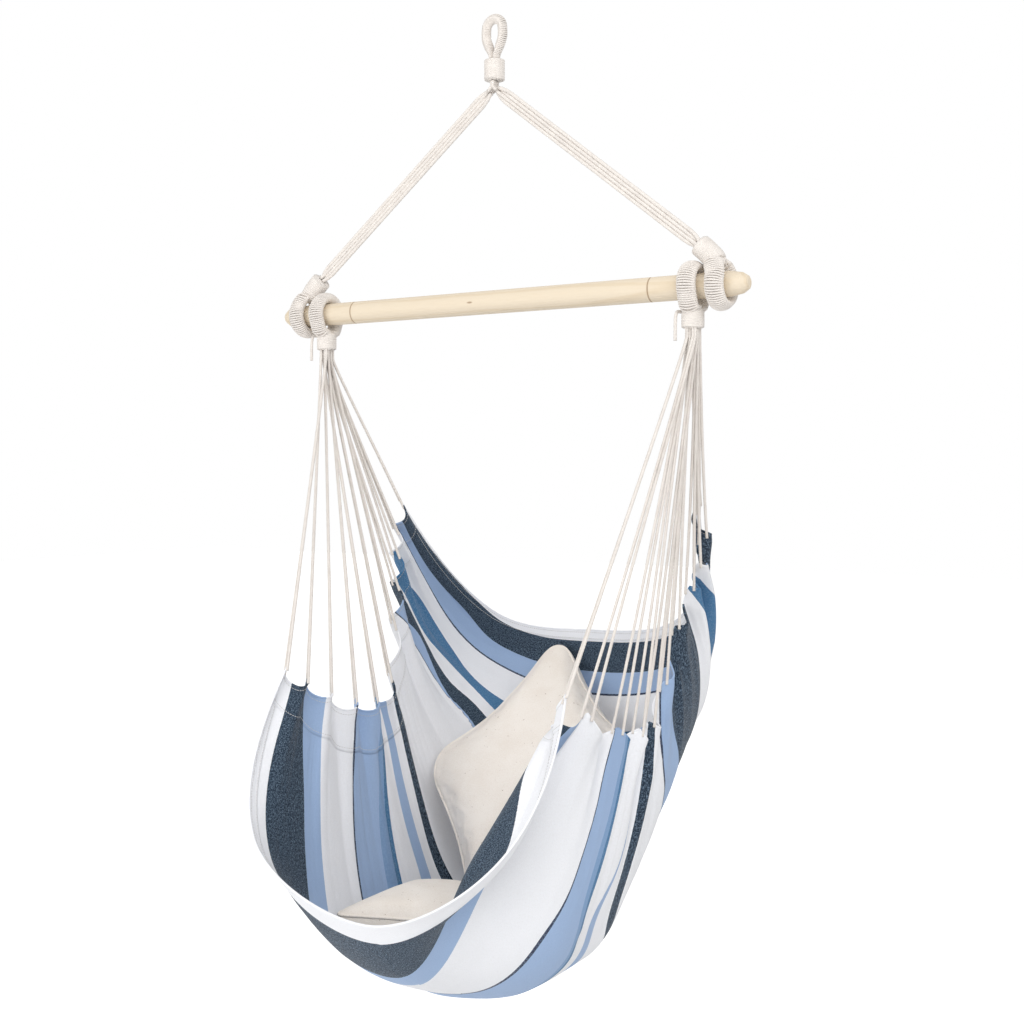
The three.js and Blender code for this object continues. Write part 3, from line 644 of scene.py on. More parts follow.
@dataclass(frozen=True)
class ThreadFinish:
    """Polished sewing thread or zip tape: fine twist lines in one shade."""

    name: str
    pale: Colour = as_linear(226, 224, 222)
    shade: Colour = as_linear(182, 180, 180)
    twist_scale: float = 1500.0
    relief: float = 0.1 * MM

    def material(self) -> Material:
        """The finish as a material."""
        sheet = NodeSheet(self.name, roughness=0.6, sheen=0.0)
        twist = sheet.noise(sheet.own_place(), self.twist_scale, 2)
        colour = sheet.mixed(sheet.eased(twist, 0.35, 0.65), self.shade, self.pale)
        return sheet.finish(colour, twist, self.relief)


@dataclass(frozen=True)
class Lamp:
    """One broad lamp turned to the seat."""

    name: str
    place: Place
    width: float
    power: float
    target: Place = (0.0, 0.0, -0.9)

    def build(self) -> None:
        """Hangs the lamp."""
        lamp = bpy.data.lights.new(self.name, "AREA")
        lamp.size = self.width
        lamp.energy = self.power
        light = placed(self.name, lamp)
        light.location = self.place
        way = Vector(self.target) - Vector(self.place)
        light.rotation_euler = way.to_track_quat("-Z", "Y").to_euler()


@dataclass(frozen=True)
class Studio:
    """The camera where the photo was taken from, and plain soft light over a pale floor."""

    azimuth: float = math.radians(32)
    distance: float = 2.196
    height: float = -0.722
    lens: float = 47.7
    shift: tuple[float, float] = (0.0171, -0.041)
    floor_height: float = -1.95
    floor_half: float = 14.0
    floor_glow: float = 0.5
    floor_mottle: float = 0.02
    sky: float = 0.72
    lamps: tuple[Lamp, ...] = (
        Lamp("key_lamp", (-0.9, -2.7, -1.15), 2.2, 30.0),
        Lamp("side_lamp", (2.1, -2.1, 0.9), 2.4, 46.0),
    )

    def build_camera(self) -> None:
        """Places the camera and makes it the scene's own."""
        lens = bpy.data.cameras.new("photo_camera")
        lens.lens = self.lens
        lens.shift_x, lens.shift_y = self.shift
        lens.clip_end = 60
        camera = placed("photo_camera", lens)
        turn = self.azimuth
        camera.location = (math.sin(turn) * self.distance, -math.cos(turn) * self.distance, self.height)
        camera.rotation_euler = (math.pi / 2, 0, turn)
        bpy.context.scene.camera = camera

    def seen_directly(self, tree: bpy.types.NodeTree) -> Socket:
        """One for rays from the camera, from gloss or through glass, and nought for light."""
        ray = tree.nodes.new("ShaderNodeLightPath")
        share = ray.outputs["Is Camera Ray"]
        for other in ("Is Glossy Ray", "Is Transmission Ray"):
            larger = tree.nodes.new("ShaderNodeMath")
            larger.operation = "MAXIMUM"
            tree.links.new(share, larger.inputs[0])
            tree.links.new(ray.outputs[other], larger.inputs[1])
            share = larger.outputs[0]
        return share

    def build_floor(self) -> None:
        """Lays the floor, which keeps the shadow and is pale wherever it is seen."""
        sheet = NodeSheet("pale_floor", roughness=0.9, sheen=0.0)
        sheet.shader.inputs["Base Color"].default_value = (0.86, 0.86, 0.86, 1)
        grain = sheet.noise(sheet.own_place(), 3, 2)
        even = sheet.sum("MULTIPLY_ADD", grain, self.floor_mottle, self.floor_glow)
        glow = sheet.sum("MULTIPLY", self.seen_directly(sheet.tree), even)
        sheet.shader.inputs["Emission Color"].default_value = (1, 1, 1, 1)
        sheet.tree.links.new(glow, sheet.shader.inputs["Emission Strength"])
        half = self.floor_half
        mesh = bpy.data.meshes.new("floor")
        corners = [(-half, -half), (half, -half), (half, half), (-half, half)]
        mesh.from_pydata([(x, y, self.floor_height) for x, y in corners], [], [(0, 1, 2, 3)])
        mesh.materials.append(sheet.material)
        placed("floor", mesh)

    def build_light(self) -> None:
        """Hangs two broad lamps and an even sky that looks white to the camera."""
        world = bpy.data.worlds.new("studio")
        bpy.context.scene.world = world
        world.use_nodes = True
        tree = world.node_tree
        lit = tree.nodes["Background"]
        lit.inputs["Color"].default_value = (1.0, 0.995, 0.985, 1)
        lit.inputs["Strength"].default_value = self.sky
        seen = tree.nodes.new("ShaderNodeBackground")
        seen.inputs["Color"].default_value = (1, 1, 1, 1)
        mix = tree.nodes.new("ShaderNodeMixShader")
        tree.links.new(self.seen_directly(tree), mix.inputs[0])
        tree.links.new(lit.outputs[0], mix.inputs[1])
        tree.links.new(seen.outputs[0], mix.inputs[2])
        tree.links.new(mix.outputs[0], tree.nodes["World Output"].inputs["Surface"])
        for lamp in self.lamps:
            lamp.build()
        bpy.context.scene.view_settings.view_transform = "Standard"

    def build(self) -> None:
        """Builds all of it."""
        self.build_camera()
        self.build_floor()
        self.build_light()


@dataclass(frozen=True)
class LaidCord:
    """A cord laid from three strands."""

    diameter: float = 1.14 * CORD_DIAMETER
    lay: float = 15 * MM
    strands: int = 3
    cells: int = 5
    rings: int = 11
    strand_share: float = 0.38

    def section(self) -> Points:
        """The outline of its strands, one outline round all of them."""
        strand = self.strand_share * self.diameter
        centre = self.diameter / 2 - strand
        apart = math.pi / self.strands
        within = np.tile(np.linspace(-apart, apart, self.cells, endpoint=False), self.strands)
        radius = centre * np.cos(within) + np.sqrt(strand**2 - (centre * np.sin(within)) ** 2)
        angle = 2 * np.pi * np.arange(len(radius)) / len(radius)
        return np.column_stack([radius * np.cos(angle), radius * np.sin(angle)])

    def lay_along(self, shape: Shape, route: Points) -> None:
        """Adds the cord to a shape along a route."""
        shape.tube(spaced(route, self.lay / self.rings), self.section(), 2 * math.pi / self.lay)


@dataclass(frozen=True)
class Yarn:
    """A yarn wound close round a bundle, with a ridge of half hitches where it locks each turn."""

    diameter: float
    half_width: float
    half_thickness: float
    sense: int
    ridge: float = 0.0
    ridge_angle: float = 0.0
    steps: int = 26
    sides: int = 7

    def wind(
        self, shape: Shape, line: Points, reference: Points, start: float, finish: float,
        squeeze: Callable[[Points], Points] | None = None,
    ) -> None:
        """Winds the yarn round part of a line.

        Args:
            shape: The shape that it is added to.
            line: Points along the bundle's middle.
            reference: The direction of the bundle's width.
            start: Where on the line the turns start.
            finish: Where they end.
            squeeze: The share of the thickness left at each place along the line.
        """
        reach = reach_along(line)
        turns = (finish - start) / (self.diameter * 1.02)
        share = np.linspace(0, 1, round(turns * self.steps) + 1)
        angle = self.sense * 2 * np.pi * turns * share
        off = (angle - self.ridge_angle + np.pi) % (2 * np.pi) - np.pi
        knot = np.exp(-((off / 0.3) ** 2)) if self.ridge > 0 else np.zeros(len(share))
        place = start + (finish - start) * share + 0.45 * self.diameter * np.sin(off * 4) * knot
        middle = read_along(line, reach, place)
        tangents = unit(read_along(unit(np.gradient(line, axis=0)), reach, place))
        across = square_to(tangents, reference)
        outward = np.cross(tangents, across)
        left = 1.0 if squeeze is None else squeeze(place)
        wide = (self.half_width + self.ridge * knot) * np.cos(angle)
        thick = (self.half_thickness * left + 0.5 * self.ridge * knot) * np.sin(angle)
        route = middle + wide[:, None] * across + thick[:, None] * outward
        shape.tube(route, round_section(self.diameter / 2, self.sides), 0.0, 1 + 0.45 * knot)


def round_section(radius: float, sides: int) -> Points:
    """The outline of a round section."""
    return oval_section(radius, radius, sides)


def oval_section(half_width: float, half_height: float, sides: int) -> Points:
    """The outline of an oval section."""
    angle = 2 * np.pi * np.arange(sides) / sides
    return np.column_stack([half_width * np.cos(angle), half_height * np.sin(angle)])


def bundle(shape: Shape, line: Points, reference: Points, half_width: float, half_thickness: float) -> None:
    """Adds a plain oval bundle along a line, its width kept to a reference direction.

    Args:
        shape: The shape that it is added to.
        line: Points along its middle.
        reference: The direction of its width.
        half_width: Half its width.
        half_thickness: Half its thickness.
    """
    route = spaced(line, 4 * MM)
    tangents = unit(np.gradient(route, axis=0))
    across = square_to(tangents, reference)
    outward = np.cross(tangents, across)
    section = oval_section(half_width, half_thickness, 14)
    rings = route[:, None] + section[:, 0, None] * across[:, None] + section[:, 1, None] * outward[:, None]
    shape.skin(rings, np.zeros(len(rings)), around=0.0)


def pinched(length: float, least: float, low: float, high: float) -> Callable[[Points], Points]:
    """How a sleeve thins towards its two ends, where the legs of its bundle meet.

    Args:
        length: The length of the bundle.
        least: The share of the thickness left at the ends.
        low: How far from an end the sleeve starts to grow.
        high: How far from it the sleeve is at its full thickness.

    Returns:
        A function from places along the bundle to shares of the thickness.
    """

    def left(place: Points) -> Points:
        """The share left at each place."""
        near = np.minimum(place, length - place)
        return least + (1 - least) * smoothstep(near, low, high)

    return left


@dataclass(frozen=True)
class RopeLoop:
    """One rope loop over the bar: a bundle in a wound sleeve, and the seizing below its throat."""

    side: Side
    name: str
    body: str
    station: float
    away: int
    lean: float = 0.0
    lean_start: float = 15 * MM
    lean_power: float = 1.7
    radius: float = 29.1 * MM
    leg_offset: float = 5.15 * MM
    sleeve_half_width: float = 12.6 * MM
    sleeve_half_thickness: float = 8.2 * MM
    yarn: float = 3.1 * MM
    ridge: float = 2.2 * MM
    tucked: float = 4 * MM
    squeeze_ease: float = 16 * MM
    seizing_yarn: float = 3.6 * MM
    seizing_half_width: float = 15.4 * MM
    seizing_half_thickness: float = 15.9 * MM

    def place(self, across: float, drop: float) -> Points:
        """A point of the loop, from its distance across the bar and away from the bar's axis."""
        share = np.clip((drop - self.lean_start) / (LOOP_END - self.lean_start), 0, 1)
        out = self.station - self.lean * share**self.lean_power
        return np.array([self.side.value * out, across, self.away * drop - BAR_DROP])

    def line(self) -> Points:
        """The middle of the bundle, from one leg's end round the bar to the other's."""
        gap, radius = self.leg_offset, self.radius
        half = [(gap, LOOP_END), (gap, (LOOP_THROAT + LOOP_END) / 2), (gap, LOOP_THROAT)]
        half.append(((gap + radius) / 2, (LOOP_THROAT + radius) / 2))
        turns = np.radians(np.arange(-30, 211, 30))
        ring = [(radius * math.cos(turn), -radius * math.sin(turn)) for turn in turns]
        outline = [*half, *ring, *[(-across, drop) for across, drop in reversed(half)]]
        return flowing([self.place(across, drop) for across, drop in outline])

    def build(self, finish: Material) -> None:
        """Builds and dresses the sleeve and the seizing."""
        outward = ALONG_BAR * self.side.value
        line = self.line()
        reach = reach_along(line)
        leg = LOOP_END - LOOP_THROAT
        least = self.leg_offset / self.sleeve_half_thickness
        squeeze = pinched(reach[-1], least, leg, leg + self.squeeze_ease)
        sleeve = Shape()
        half_width = self.sleeve_half_width + GROOVE_FILL * self.yarn
        bundle(sleeve, line, outward, half_width, self.leg_offset + 0.1 * MM)
        sense = -self.side.value
        yarn = Yarn(self.yarn, self.sleeve_half_width, self.sleeve_half_thickness, sense, self.ridge)
        first = leg - self.tucked
        yarn.wind(sleeve, line, outward, first, reach[-1] - first, squeeze)
        settle(sleeve.piece(f"{self.name}_sleeve", finish), self.body, "cotton_rope",
               f"{self.name}_core", f"{self.name}_whipping")

        seizing = Shape()
        drops = (LOOP_THROAT + 1 * MM, (LOOP_THROAT + LOOP_END) / 2, LOOP_END - 1.5 * MM)
        legs = flowing([self.place(0, drop) for drop in drops])
        half_width, half_thickness = self.seizing_half_width, self.seizing_half_thickness
        swelled = GROOVE_FILL * self.seizing_yarn
        bundle(seizing, legs, outward, half_width + swelled, half_thickness + swelled)
        wound = Yarn(self.seizing_yarn, half_width, half_thickness, sense)
        wound.wind(seizing, legs, outward, 1 * MM, reach_along(legs)[-1] - 0.8 * MM)
        piece = seizing.piece(f"{self.name}_seizing", finish)
        settle(piece, self.body, "cotton_rope", f"{self.name}_binding")


@dataclass(frozen=True)
class HangingEye:
    """The whipped eye on the hook, its seized neck, and the crotch where the rope parts."""

    leg_offset: float = 4.15 * MM
    hole_half_width: float = 7 * MM
    sleeve_half: float = 6.7 * MM
    yarn: float = 2.7 * MM
    bundle_half: float = 8.06 * MM
    ridge: float = 1.4 * MM
    neck_ring: float = 7.2 * MM
    neck_step: float = 51.43
    seizing_yarn: float = 3.6 * MM
    seizing_half: float = 15.2 * MM
    crotch_cord: float = 5.6 * MM
    crotch_packing: float = 4.4 * MM
    crotch_inset: float = 1.2 * MM
    crotch_above: tuple[float, float] = (9.6 * MM, 4 * MM)
    crotch_below: tuple[float, float] = (5 * MM, 10.2 * MM)
    squeeze_start: float = 6 * MM
    squeeze_end: float = 26 * MM

    def line(self) -> Points:
        """The middle of the eye's bundle."""
        gap, length, hole = self.leg_offset, EYE_LENGTH, self.hole_half_width
        radius = hole + self.bundle_half
        half = [(gap, -length), (gap, -0.88 * length), ((gap + radius) / 2, -0.65 * length),
                (radius, -0.4 * length), (radius, -hole)]
        turns = np.radians(np.arange(30, 151, 30))
        top = [(radius * math.cos(turn), radius * math.sin(turn) - hole) for turn in turns]
        outline = [*half, *top, *[(-across, height) for across, height in reversed(half)]]
        return flowing([(across, 0, height) for across, height in outline])

    def build_eye(self, finish: Material) -> None:
        """Builds the eye's sleeve."""
        line = self.line()
        reach = reach_along(line)
        least = self.leg_offset / self.sleeve_half
        squeeze = pinched(reach[-1], least, self.squeeze_start, self.squeeze_end)
        eye = Shape()
        bundle(eye, line, AFT, self.sleeve_half + GROOVE_FILL * self.yarn, self.leg_offset)
        yarn = Yarn(self.yarn, self.sleeve_half, self.sleeve_half, 1, self.ridge, math.pi)
        yarn.wind(eye, line, AFT, 0.5 * MM, reach[-1] - 0.5 * MM, squeeze)
        settle(eye.piece("hanging_eye_sleeve", finish), "hanging_eye", "cotton_rope",
               "hanging_eye_core", "hanging_eye_whipping")

    def build_neck(self, finish: Material) -> None:
        """Builds the neck's cords and the seizing round them."""
        top = -EYE_LENGTH - 0.4 * MM
        low = top - NECK_LENGTH + 0.4 * MM
        cords = Shape()
        turns = np.radians(np.arange(0, 360, self.neck_step))
        ring = [(self.neck_ring * math.cos(turn), self.neck_ring * math.sin(turn)) for turn in turns]
        for x, y in [(0.0, 0.0), *ring]:
            LaidCord().lay_along(cords, np.array([(x, y, top), (x, y, low)]))
        settle(cords.piece("neck_cords", finish), "eye_neck", "cotton_rope", "eye_neck")
        seizing = Shape()
        line = np.array([(0, 0, top - 1 * MM), (0, 0, (top + low) / 2), (0, 0, low + 1 * MM)])
        swelled = self.seizing_half + GROOVE_FILL * self.seizing_yarn
        bundle(seizing, line, AFT, swelled, swelled)
        wound = Yarn(self.seizing_yarn, self.seizing_half, self.seizing_half, 1)
        wound.wind(seizing, line, AFT, 0.4 * MM, reach_along(line)[-1] - 0.4 * MM)
        settle(seizing.piece("neck_seizing", finish), "eye_neck", "cotton_rope", "eye_binding")

    def build_crotch(self, finish: Material) -> None:
        """Builds the short run of cords that turns from the neck into the two legs."""
        crotch = Shape()
        centre = np.array([0, 0, -GATHER_DROP])
        for side in Side:
            foot = np.array([side.value * SUSPENSION_FOOT, 0, LOOP_END - BAR_DROP])
            along = unit(foot - centre)
            for row in (-1.5, -0.5, 0.5, 1.5):
                over = AFT * row * self.crotch_packing
                neck = centre + over - side.value * ALONG_BAR * self.crotch_inset
                route = [neck + UP * height for height in self.crotch_above]
                route.append(centre + over * 1.1 + along * self.crotch_below[0])
                route.append(centre + over + along * self.crotch_below[1])
                LaidCord(diameter=self.crotch_cord).lay_along(crotch, flowing(route))
        settle(crotch.piece("crotch_cords", finish), "gather", "cotton_rope", "cord_gather")

    def build(self, finish: Material) -> None:
        """Builds and dresses all of it."""
        self.build_eye(finish)
        self.build_neck(finish)
        self.build_crotch(finish)


@dataclass(frozen=True)
class SuspensionLeg:
    """Four laid cords of one leg, bunched at both ends and side by side between."""

    side: Side
    steps: int = 40
    gather_radius: float = 10 * MM
    gap: float = 0.3 * MM
    cord: LaidCord = LaidCord(diameter=6.3 * MM, lay=34 * MM, strand_share=0.43)

    def route(self, cord: int) -> Points:
        """The middle of one cord, from the crotch to the loop."""
        start = np.array([0, 0, -GATHER_DROP])
        finish = np.array([self.side.value * SUSPENSION_FOOT, 0, LOOP_END - BAR_DROP])
        along = unit(finish - start)
        across = np.cross(AFT, along)
        start = start + along * (self.gather_radius + self.gap)
        finish = finish - along * 3 * self.gap
        pair = -1 if cord < 2 else 1
        member = -1 if cord % 2 == 0 else 1
        share = np.linspace(0, 1, self.steps + 1)
        spread = smoothstep(np.minimum(share, 1 - share), -0.02, 0.05)
        roll = (1 - spread) * math.pi / 2
        sideways = pair * CORD_PACKING * (1 + spread) / 2 + member * CORD_PACKING * np.cos(roll) / 2
        level = member * CORD_PACKING * np.sin(roll) / 2
        straight = start + share[:, None] * (finish - start)
        return straight + sideways[:, None] * across + level[:, None] * AFT

    def build(self, finish: Material) -> None:
        """Builds and dresses the four cords."""
        for cord in range(4):
            laid = Shape()
            self.cord.lay_along(laid, self.route(cord))
            name = f"{self.side.word}_suspension_cord_{cord + 1}"
            settle(laid.piece(f"{name}_laid", finish), "yoke", "cotton_rope", name)


# Ribs of the cloth from the front hem to the back hem: place along the cloth, then out, aft and down,
# in half widths, half depths and falls of the seat
LEFT_EDGE = np.array([
    [0, 1, -0.64, 0.522], [0.16, 0.972, -0.41, 0.556], [0.26, 1, -0.18, 0.585], [0.46, 1.024, 0.167, 0.585],
    [0.62, 1.08, 0.297, 0.472], [0.77, 1.16, 0.394, 0.391], [0.88, 1.2, 0.424, 0.346], [1, 1.16, 0.44, 0.294],
])
LEFT_BELLY = np.array([
    [0, 1.05, -0.83, 0.751], [0.12, 0.89, -0.62, 0.841], [0.26, 0.75, -0.24, 0.931], [0.36, 0.7, 0.06, 0.953],
    [0.47, 0.72, 0.425, 0.89], [0.63, 0.82, 0.65, 0.733], [0.74, 0.91, 0.79, 0.63], [0.87, 1, 0.945, 0.549],
    [1, 0.82, 0.975, 0.481],
])
MIDDLE_RIB = np.array([
    [0, 0, -1, 0.817], [0.12, 0, -0.76, 0.901], [0.26, 0, -0.3, 0.969], [0.36, 0, 0.015, 1],
    [0.47, 0, 0.395, 0.958], [0.63, 0, 0.76, 0.827], [0.74, 0, 0.925, 0.719], [0.87, 0, 1, 0.607],
    [1, 0, 0.985, 0.504],
])
# The right side holds a deep fold behind the front hem, between its first two cords
RIGHT_BELLY = np.array([
    [0, 0.78, -0.873, 0.715], [0.033, 0.711, -0.771, 0.728], [0.083, 0.58, -0.72, 0.732],
    [0.133, 0.446, -0.669, 0.736], [0.167, 0.498, -0.555, 0.758], [0.26, 0.69, -0.3, 0.854],
    [0.36, 0.66, -0.03, 0.895], [0.47, 0.67, 0.3, 0.89], [0.63, 0.87, 0.59, 0.71], [0.74, 0.94, 0.76, 0.625],
    [0.87, 0.91, 0.83, 0.549], [1, 0.78, 0.885, 0.469],
])
RIGHT_EDGE = np.vstack([
    LEFT_EDGE[:1],
    [[0.033, 0.863, -0.596, 0.536], [0.133, 0.86, -0.41, 0.566], [0.167, 0.972, -0.41, 0.556]],
    LEFT_EDGE[2:],
])
# Where the stripes begin and end, as shares of the cloth's length, and where the cloth shows each of
# these on lines across it: the folds and gathers of the real cloth hide part of it between them
STRIPE_SEAMS = np.array([
    0, 0.039, 0.121, 0.16, 0.26, 0.328, 0.354, 0.393, 0.423, 0.454, 0.469, 0.573, 0.629, 0.7065, 0.741,
    0.793, 0.867, 0.913, 0.974, 1,
])
SEAM_LINES = np.array([-1, -0.8, -0.6, -0.45, -0.2, 0.1, 0.45, 0.6, 0.73, 0.85, 1])
SHOWN_SEAMS = np.array([
    [0, 0.048, 0.092, 0.16, 0.272, 0.39, 0.405, 0.435, 0.45, 0.46, 0.49, 0.64, 0.665, 0.73, 0.74,
     0.79, 0.935, 0.955, 0.99, 1],
    [0, 0.042, 0.14, 0.177, 0.262, 0.335, 0.38, 0.42, 0.442, 0.465, 0.483, 0.71, 0.745, 0.749,
     0.753, 0.85, 0.915, 0.945, 0.998, 1],
    [0, 0.04, 0.14, 0.177, 0.262, 0.33, 0.376, 0.419, 0.437, 0.45, 0.465, 0.715, 0.716, 0.74, 0.785,
     0.835, 0.887, 0.955, 0.997, 1],
    [0, 0.039, 0.125, 0.165, 0.26, 0.328, 0.36, 0.4, 0.425, 0.45, 0.465, 0.724, 0.725, 0.757, 0.786,
     0.8, 0.879, 0.926, 0.985, 1],
    STRIPE_SEAMS,
    STRIPE_SEAMS,
    [0, 0.036, 0.133, 0.16, 0.242, 0.33, 0.362, 0.38, 0.4, 0.44, 0.46, 0.573, 0.629, 0.7065, 0.741,
     0.793, 0.867, 0.913, 0.974, 1],
    [0, 0.065, 0.133, 0.158, 0.25, 0.285, 0.3, 0.348, 0.361, 0.408, 0.425, 0.573, 0.62, 0.7, 0.745,
     0.8, 0.867, 0.913, 0.974, 1],
    [0, 0.1, 0.134, 0.155, 0.248, 0.277, 0.297, 0.398, 0.4, 0.416, 0.431, 0.555, 0.605, 0.706,
     0.755, 0.82, 0.875, 0.91, 0.98, 1],
    [0, 0.127, 0.136, 0.15, 0.256, 0.283, 0.294, 0.402, 0.404, 0.425, 0.443, 0.53, 0.58, 0.715,
     0.775, 0.85, 0.897, 0.9, 0.986, 1],
    [0, 0.129, 0.136, 0.15, 0.262, 0.278, 0.286, 0.425, 0.427, 0.43, 0.44, 0.522, 0.59, 0.705,
     0.722, 0.775, 0.828, 0.831, 0.99, 1],
])
# Where the cords hold each side edge, in thirtieths of the cloth's length from the front hem
LEFT_ANCHORS = np.arange(0, 31, 3)
RIGHT_ANCHORS = np.array([0, 5, 8, 11, 13, 16, 19, 22, 24, 27, 30])
# Long folds that run in from the side edges: their number along the cloth, their shift in
# radians, and their height and reach in millimetres
LONG_FOLDS = ((13.0, 0.4, 3.6, 170), (7.3, 2.1, 4.4, 280), (21.0, 1.2, 2.0, 130))


@dataclass(frozen=True)
class SeatShape:
    """The hanging surface of the cloth, which the cords, bands and cushions all meet."""

    half_width: float = 244 * MM
    half_depth: float = 322 * MM
    top: float = 456.5 * MM
    fall: float = 1085 * MM
    forward: float = 66 * MM
    rightward: float = 39.5 * MM
    stripe_half_length: float = 560 * MM
    pleat_depth: float = 12 * MM
    pleat_fade: float = 95 * MM
    scallop_dip: float = 20 * MM
    scallop_fade: float = 34 * MM
    gather_height: float = 2.6 * MM
    gather_fade: float = 34 * MM
    seam_ease: int = 12
    cells: int = 30

    def place(self, shares: Points) -> Points:
        """Places in the seat from shares of out, aft and down."""
        x = shares[..., 0] * self.half_width + self.rightward
        y = shares[..., 1] * self.half_depth - self.forward
        return np.stack([x, y, -self.top - shares[..., 2] * self.fall], -1)

    def anchor(self, side: Side, cord: int) -> float:
        """The place along the cloth that a cord holds."""
        anchors = LEFT_ANCHORS if side is Side.LEFT else RIGHT_ANCHORS
        return anchors[cord] / self.cells

    def phase(self, along: Points, across: Points) -> Points:
        """How many scallops of the nearer side edge lie before each place."""
        count = np.arange(len(LEFT_ANCHORS))
        left = np.interp(along * self.cells, LEFT_ANCHORS, count)
        right = np.interp(along * self.cells, RIGHT_ANCHORS, count)
        return np.where(across < 0, left, right)

    def dyed_place(self, along: Points, across: Points) -> Points:
        """The place along the flat cloth whose stripe shows at each place of the hanging one."""
        fine = np.linspace(-1, 1, 201)
        shown = []
        for seam in SHOWN_SEAMS.T:
            line = np.interp(fine, SEAM_LINES, seam)
            padded = np.pad(line, self.seam_ease, mode="edge")
            line = np.convolve(padded, np.hanning(2 * self.seam_ease + 1) / self.seam_ease, "valid")
            shown.append(np.interp(across, fine, line))
        shown = np.stack(shown, -1)
        index = np.clip((along[..., None] >= shown).sum(-1) - 1, 0, len(STRIPE_SEAMS) - 2)
        low = np.take_along_axis(shown, index[..., None], -1)[..., 0]
        high = np.take_along_axis(shown, index[..., None] + 1, -1)[..., 0]
        share = (along - low) / (high - low)
        return STRIPE_SEAMS[index] + share * (STRIPE_SEAMS[index + 1] - STRIPE_SEAMS[index])

    def rib(self, rows: Points, side: int, along: Points) -> Points:
        """Points of one rib at places along it; side -1 is the left."""
        slopes = np.empty_like(rows[:, 1:])
        slopes[1:-1] = (rows[2:, 1:] - rows[:-2, 1:]) / (rows[2:, :1] - rows[:-2, :1])
        slopes[0] = (rows[1, 1:] - rows[0, 1:]) / (rows[1, 0] - rows[0, 0])
        slopes[-1] = (rows[-1, 1:] - rows[-2, 1:]) / (rows[-1, 0] - rows[-2, 0])
        index = np.clip(np.searchsorted(rows[:, 0], along, side="left") - 1, 0, len(rows) - 2)
        width = (rows[index + 1, 0] - rows[index, 0])[..., None]
        u = (along - rows[index, 0])[..., None] / width
        ends = rows[index, 1:], rows[index + 1, 1:]
        shares = hermite(u, *ends, width * slopes[index], width * slopes[index + 1])
        return self.place(shares * np.array([side, 1, 1]))

    def smooth(self, along: Points, across: Points) -> Points:
        """The smooth surface at places along the cloth and across it, from -1 to 1."""
        ribs = np.stack([
            self.rib(LEFT_EDGE, -1, along), self.rib(LEFT_BELLY, -1, along), self.rib(MIDDLE_RIB, 1, along),
            self.rib(RIGHT_BELLY, 1, along), self.rib(RIGHT_EDGE, 1, along),
        ])
        slopes = np.empty_like(ribs)
        slopes[1:-1] = (ribs[2:] - ribs[:-2]) / 2
        slopes[0] = -1.5 * ribs[0] + 2 * ribs[1] - 0.5 * ribs[2]
        slopes[-1] = 1.5 * ribs[-1] - 2 * ribs[-2] + 0.5 * ribs[-3]
        where = (across + 1) * 2
        index = np.clip(np.floor(where).astype(int), 0, 3)
        u = (where - index)[..., None]
        flat = np.indices(along.shape)
        pick = (index, *flat)
        after = (index + 1, *flat)
        return hermite(u, ribs[pick], ribs[after], slopes[pick], slopes[after])

    def hanging(self, along: Points, across: Points, folds: bool = False) -> Points:
        """The surface with the pleats and scallops that the cords draw into its side edges.

        Args:
            along: Places along the cloth, from 0 at the front hem to 1 at the back hem.
            across: Places across it, from -1 at the left edge to 1 at the right.
            folds: Whether the finer folds of the real cloth are added.

        Returns:
            A point for each place.
        """
        step = 0.01
        point = self.smooth(along, across)
        down = self.smooth(np.minimum(along + step, 1), across)
        down -= self.smooth(np.maximum(along - step, 0), across)
        over = self.smooth(along, np.minimum(across + step, 1))
        over = unit(over - self.smooth(along, np.maximum(across - step, -1)))
        outward = unit(np.cross(down, over))
        inward = -np.sign(across)[..., None] * over
        from_edge = (1 - np.abs(across)) * self.stripe_half_length
        phase = self.phase(along, across)
        dip = self.scallop_dip * np.abs(np.sin(np.pi * phase)) * np.exp(-from_edge / self.scallop_fade)
        pleat = self.pleat_depth * np.sin(2 * np.pi * phase) * np.exp(-from_edge / self.pleat_fade)
        if folds:
            pleat = pleat + self.folds(along, across, from_edge, phase)
        return point + dip[..., None] * inward + pleat[..., None] * outward

    def folds(self, along: Points, across: Points, from_edge: Points, phase: Points) -> Points:
        """Depth of the finer folds: tight gathers at the cords, and long soft ones that run from them."""
        turn = 2 * np.pi * along
        side = np.sign(across)
        gather = np.sin(4 * np.pi * phase + 1.4 * np.sin(3 * turn + side))
        fade = np.exp(-from_edge / self.gather_fade)
        depth = self.gather_height * gather * fade * smoothstep(from_edge, 0, 20 * MM)
        for count, offset, height, reach in LONG_FOLDS:
            swing = count * turn + offset * (1 + side) + 1.1 * np.sin(2.2 * turn + 3 * across * side)
            ridge = 1 - 2 * np.abs(np.sin(swing / 2)) ** 0.8
            fade = np.exp(-from_edge / (reach * MM))
            depth += height * MM * ridge * fade * smoothstep(from_edge, 0, 60 * MM)
        return depth * smoothstep(along, 0, 0.04) * smoothstep(1 - along, 0, 0.04)


SEAT = SeatShape()


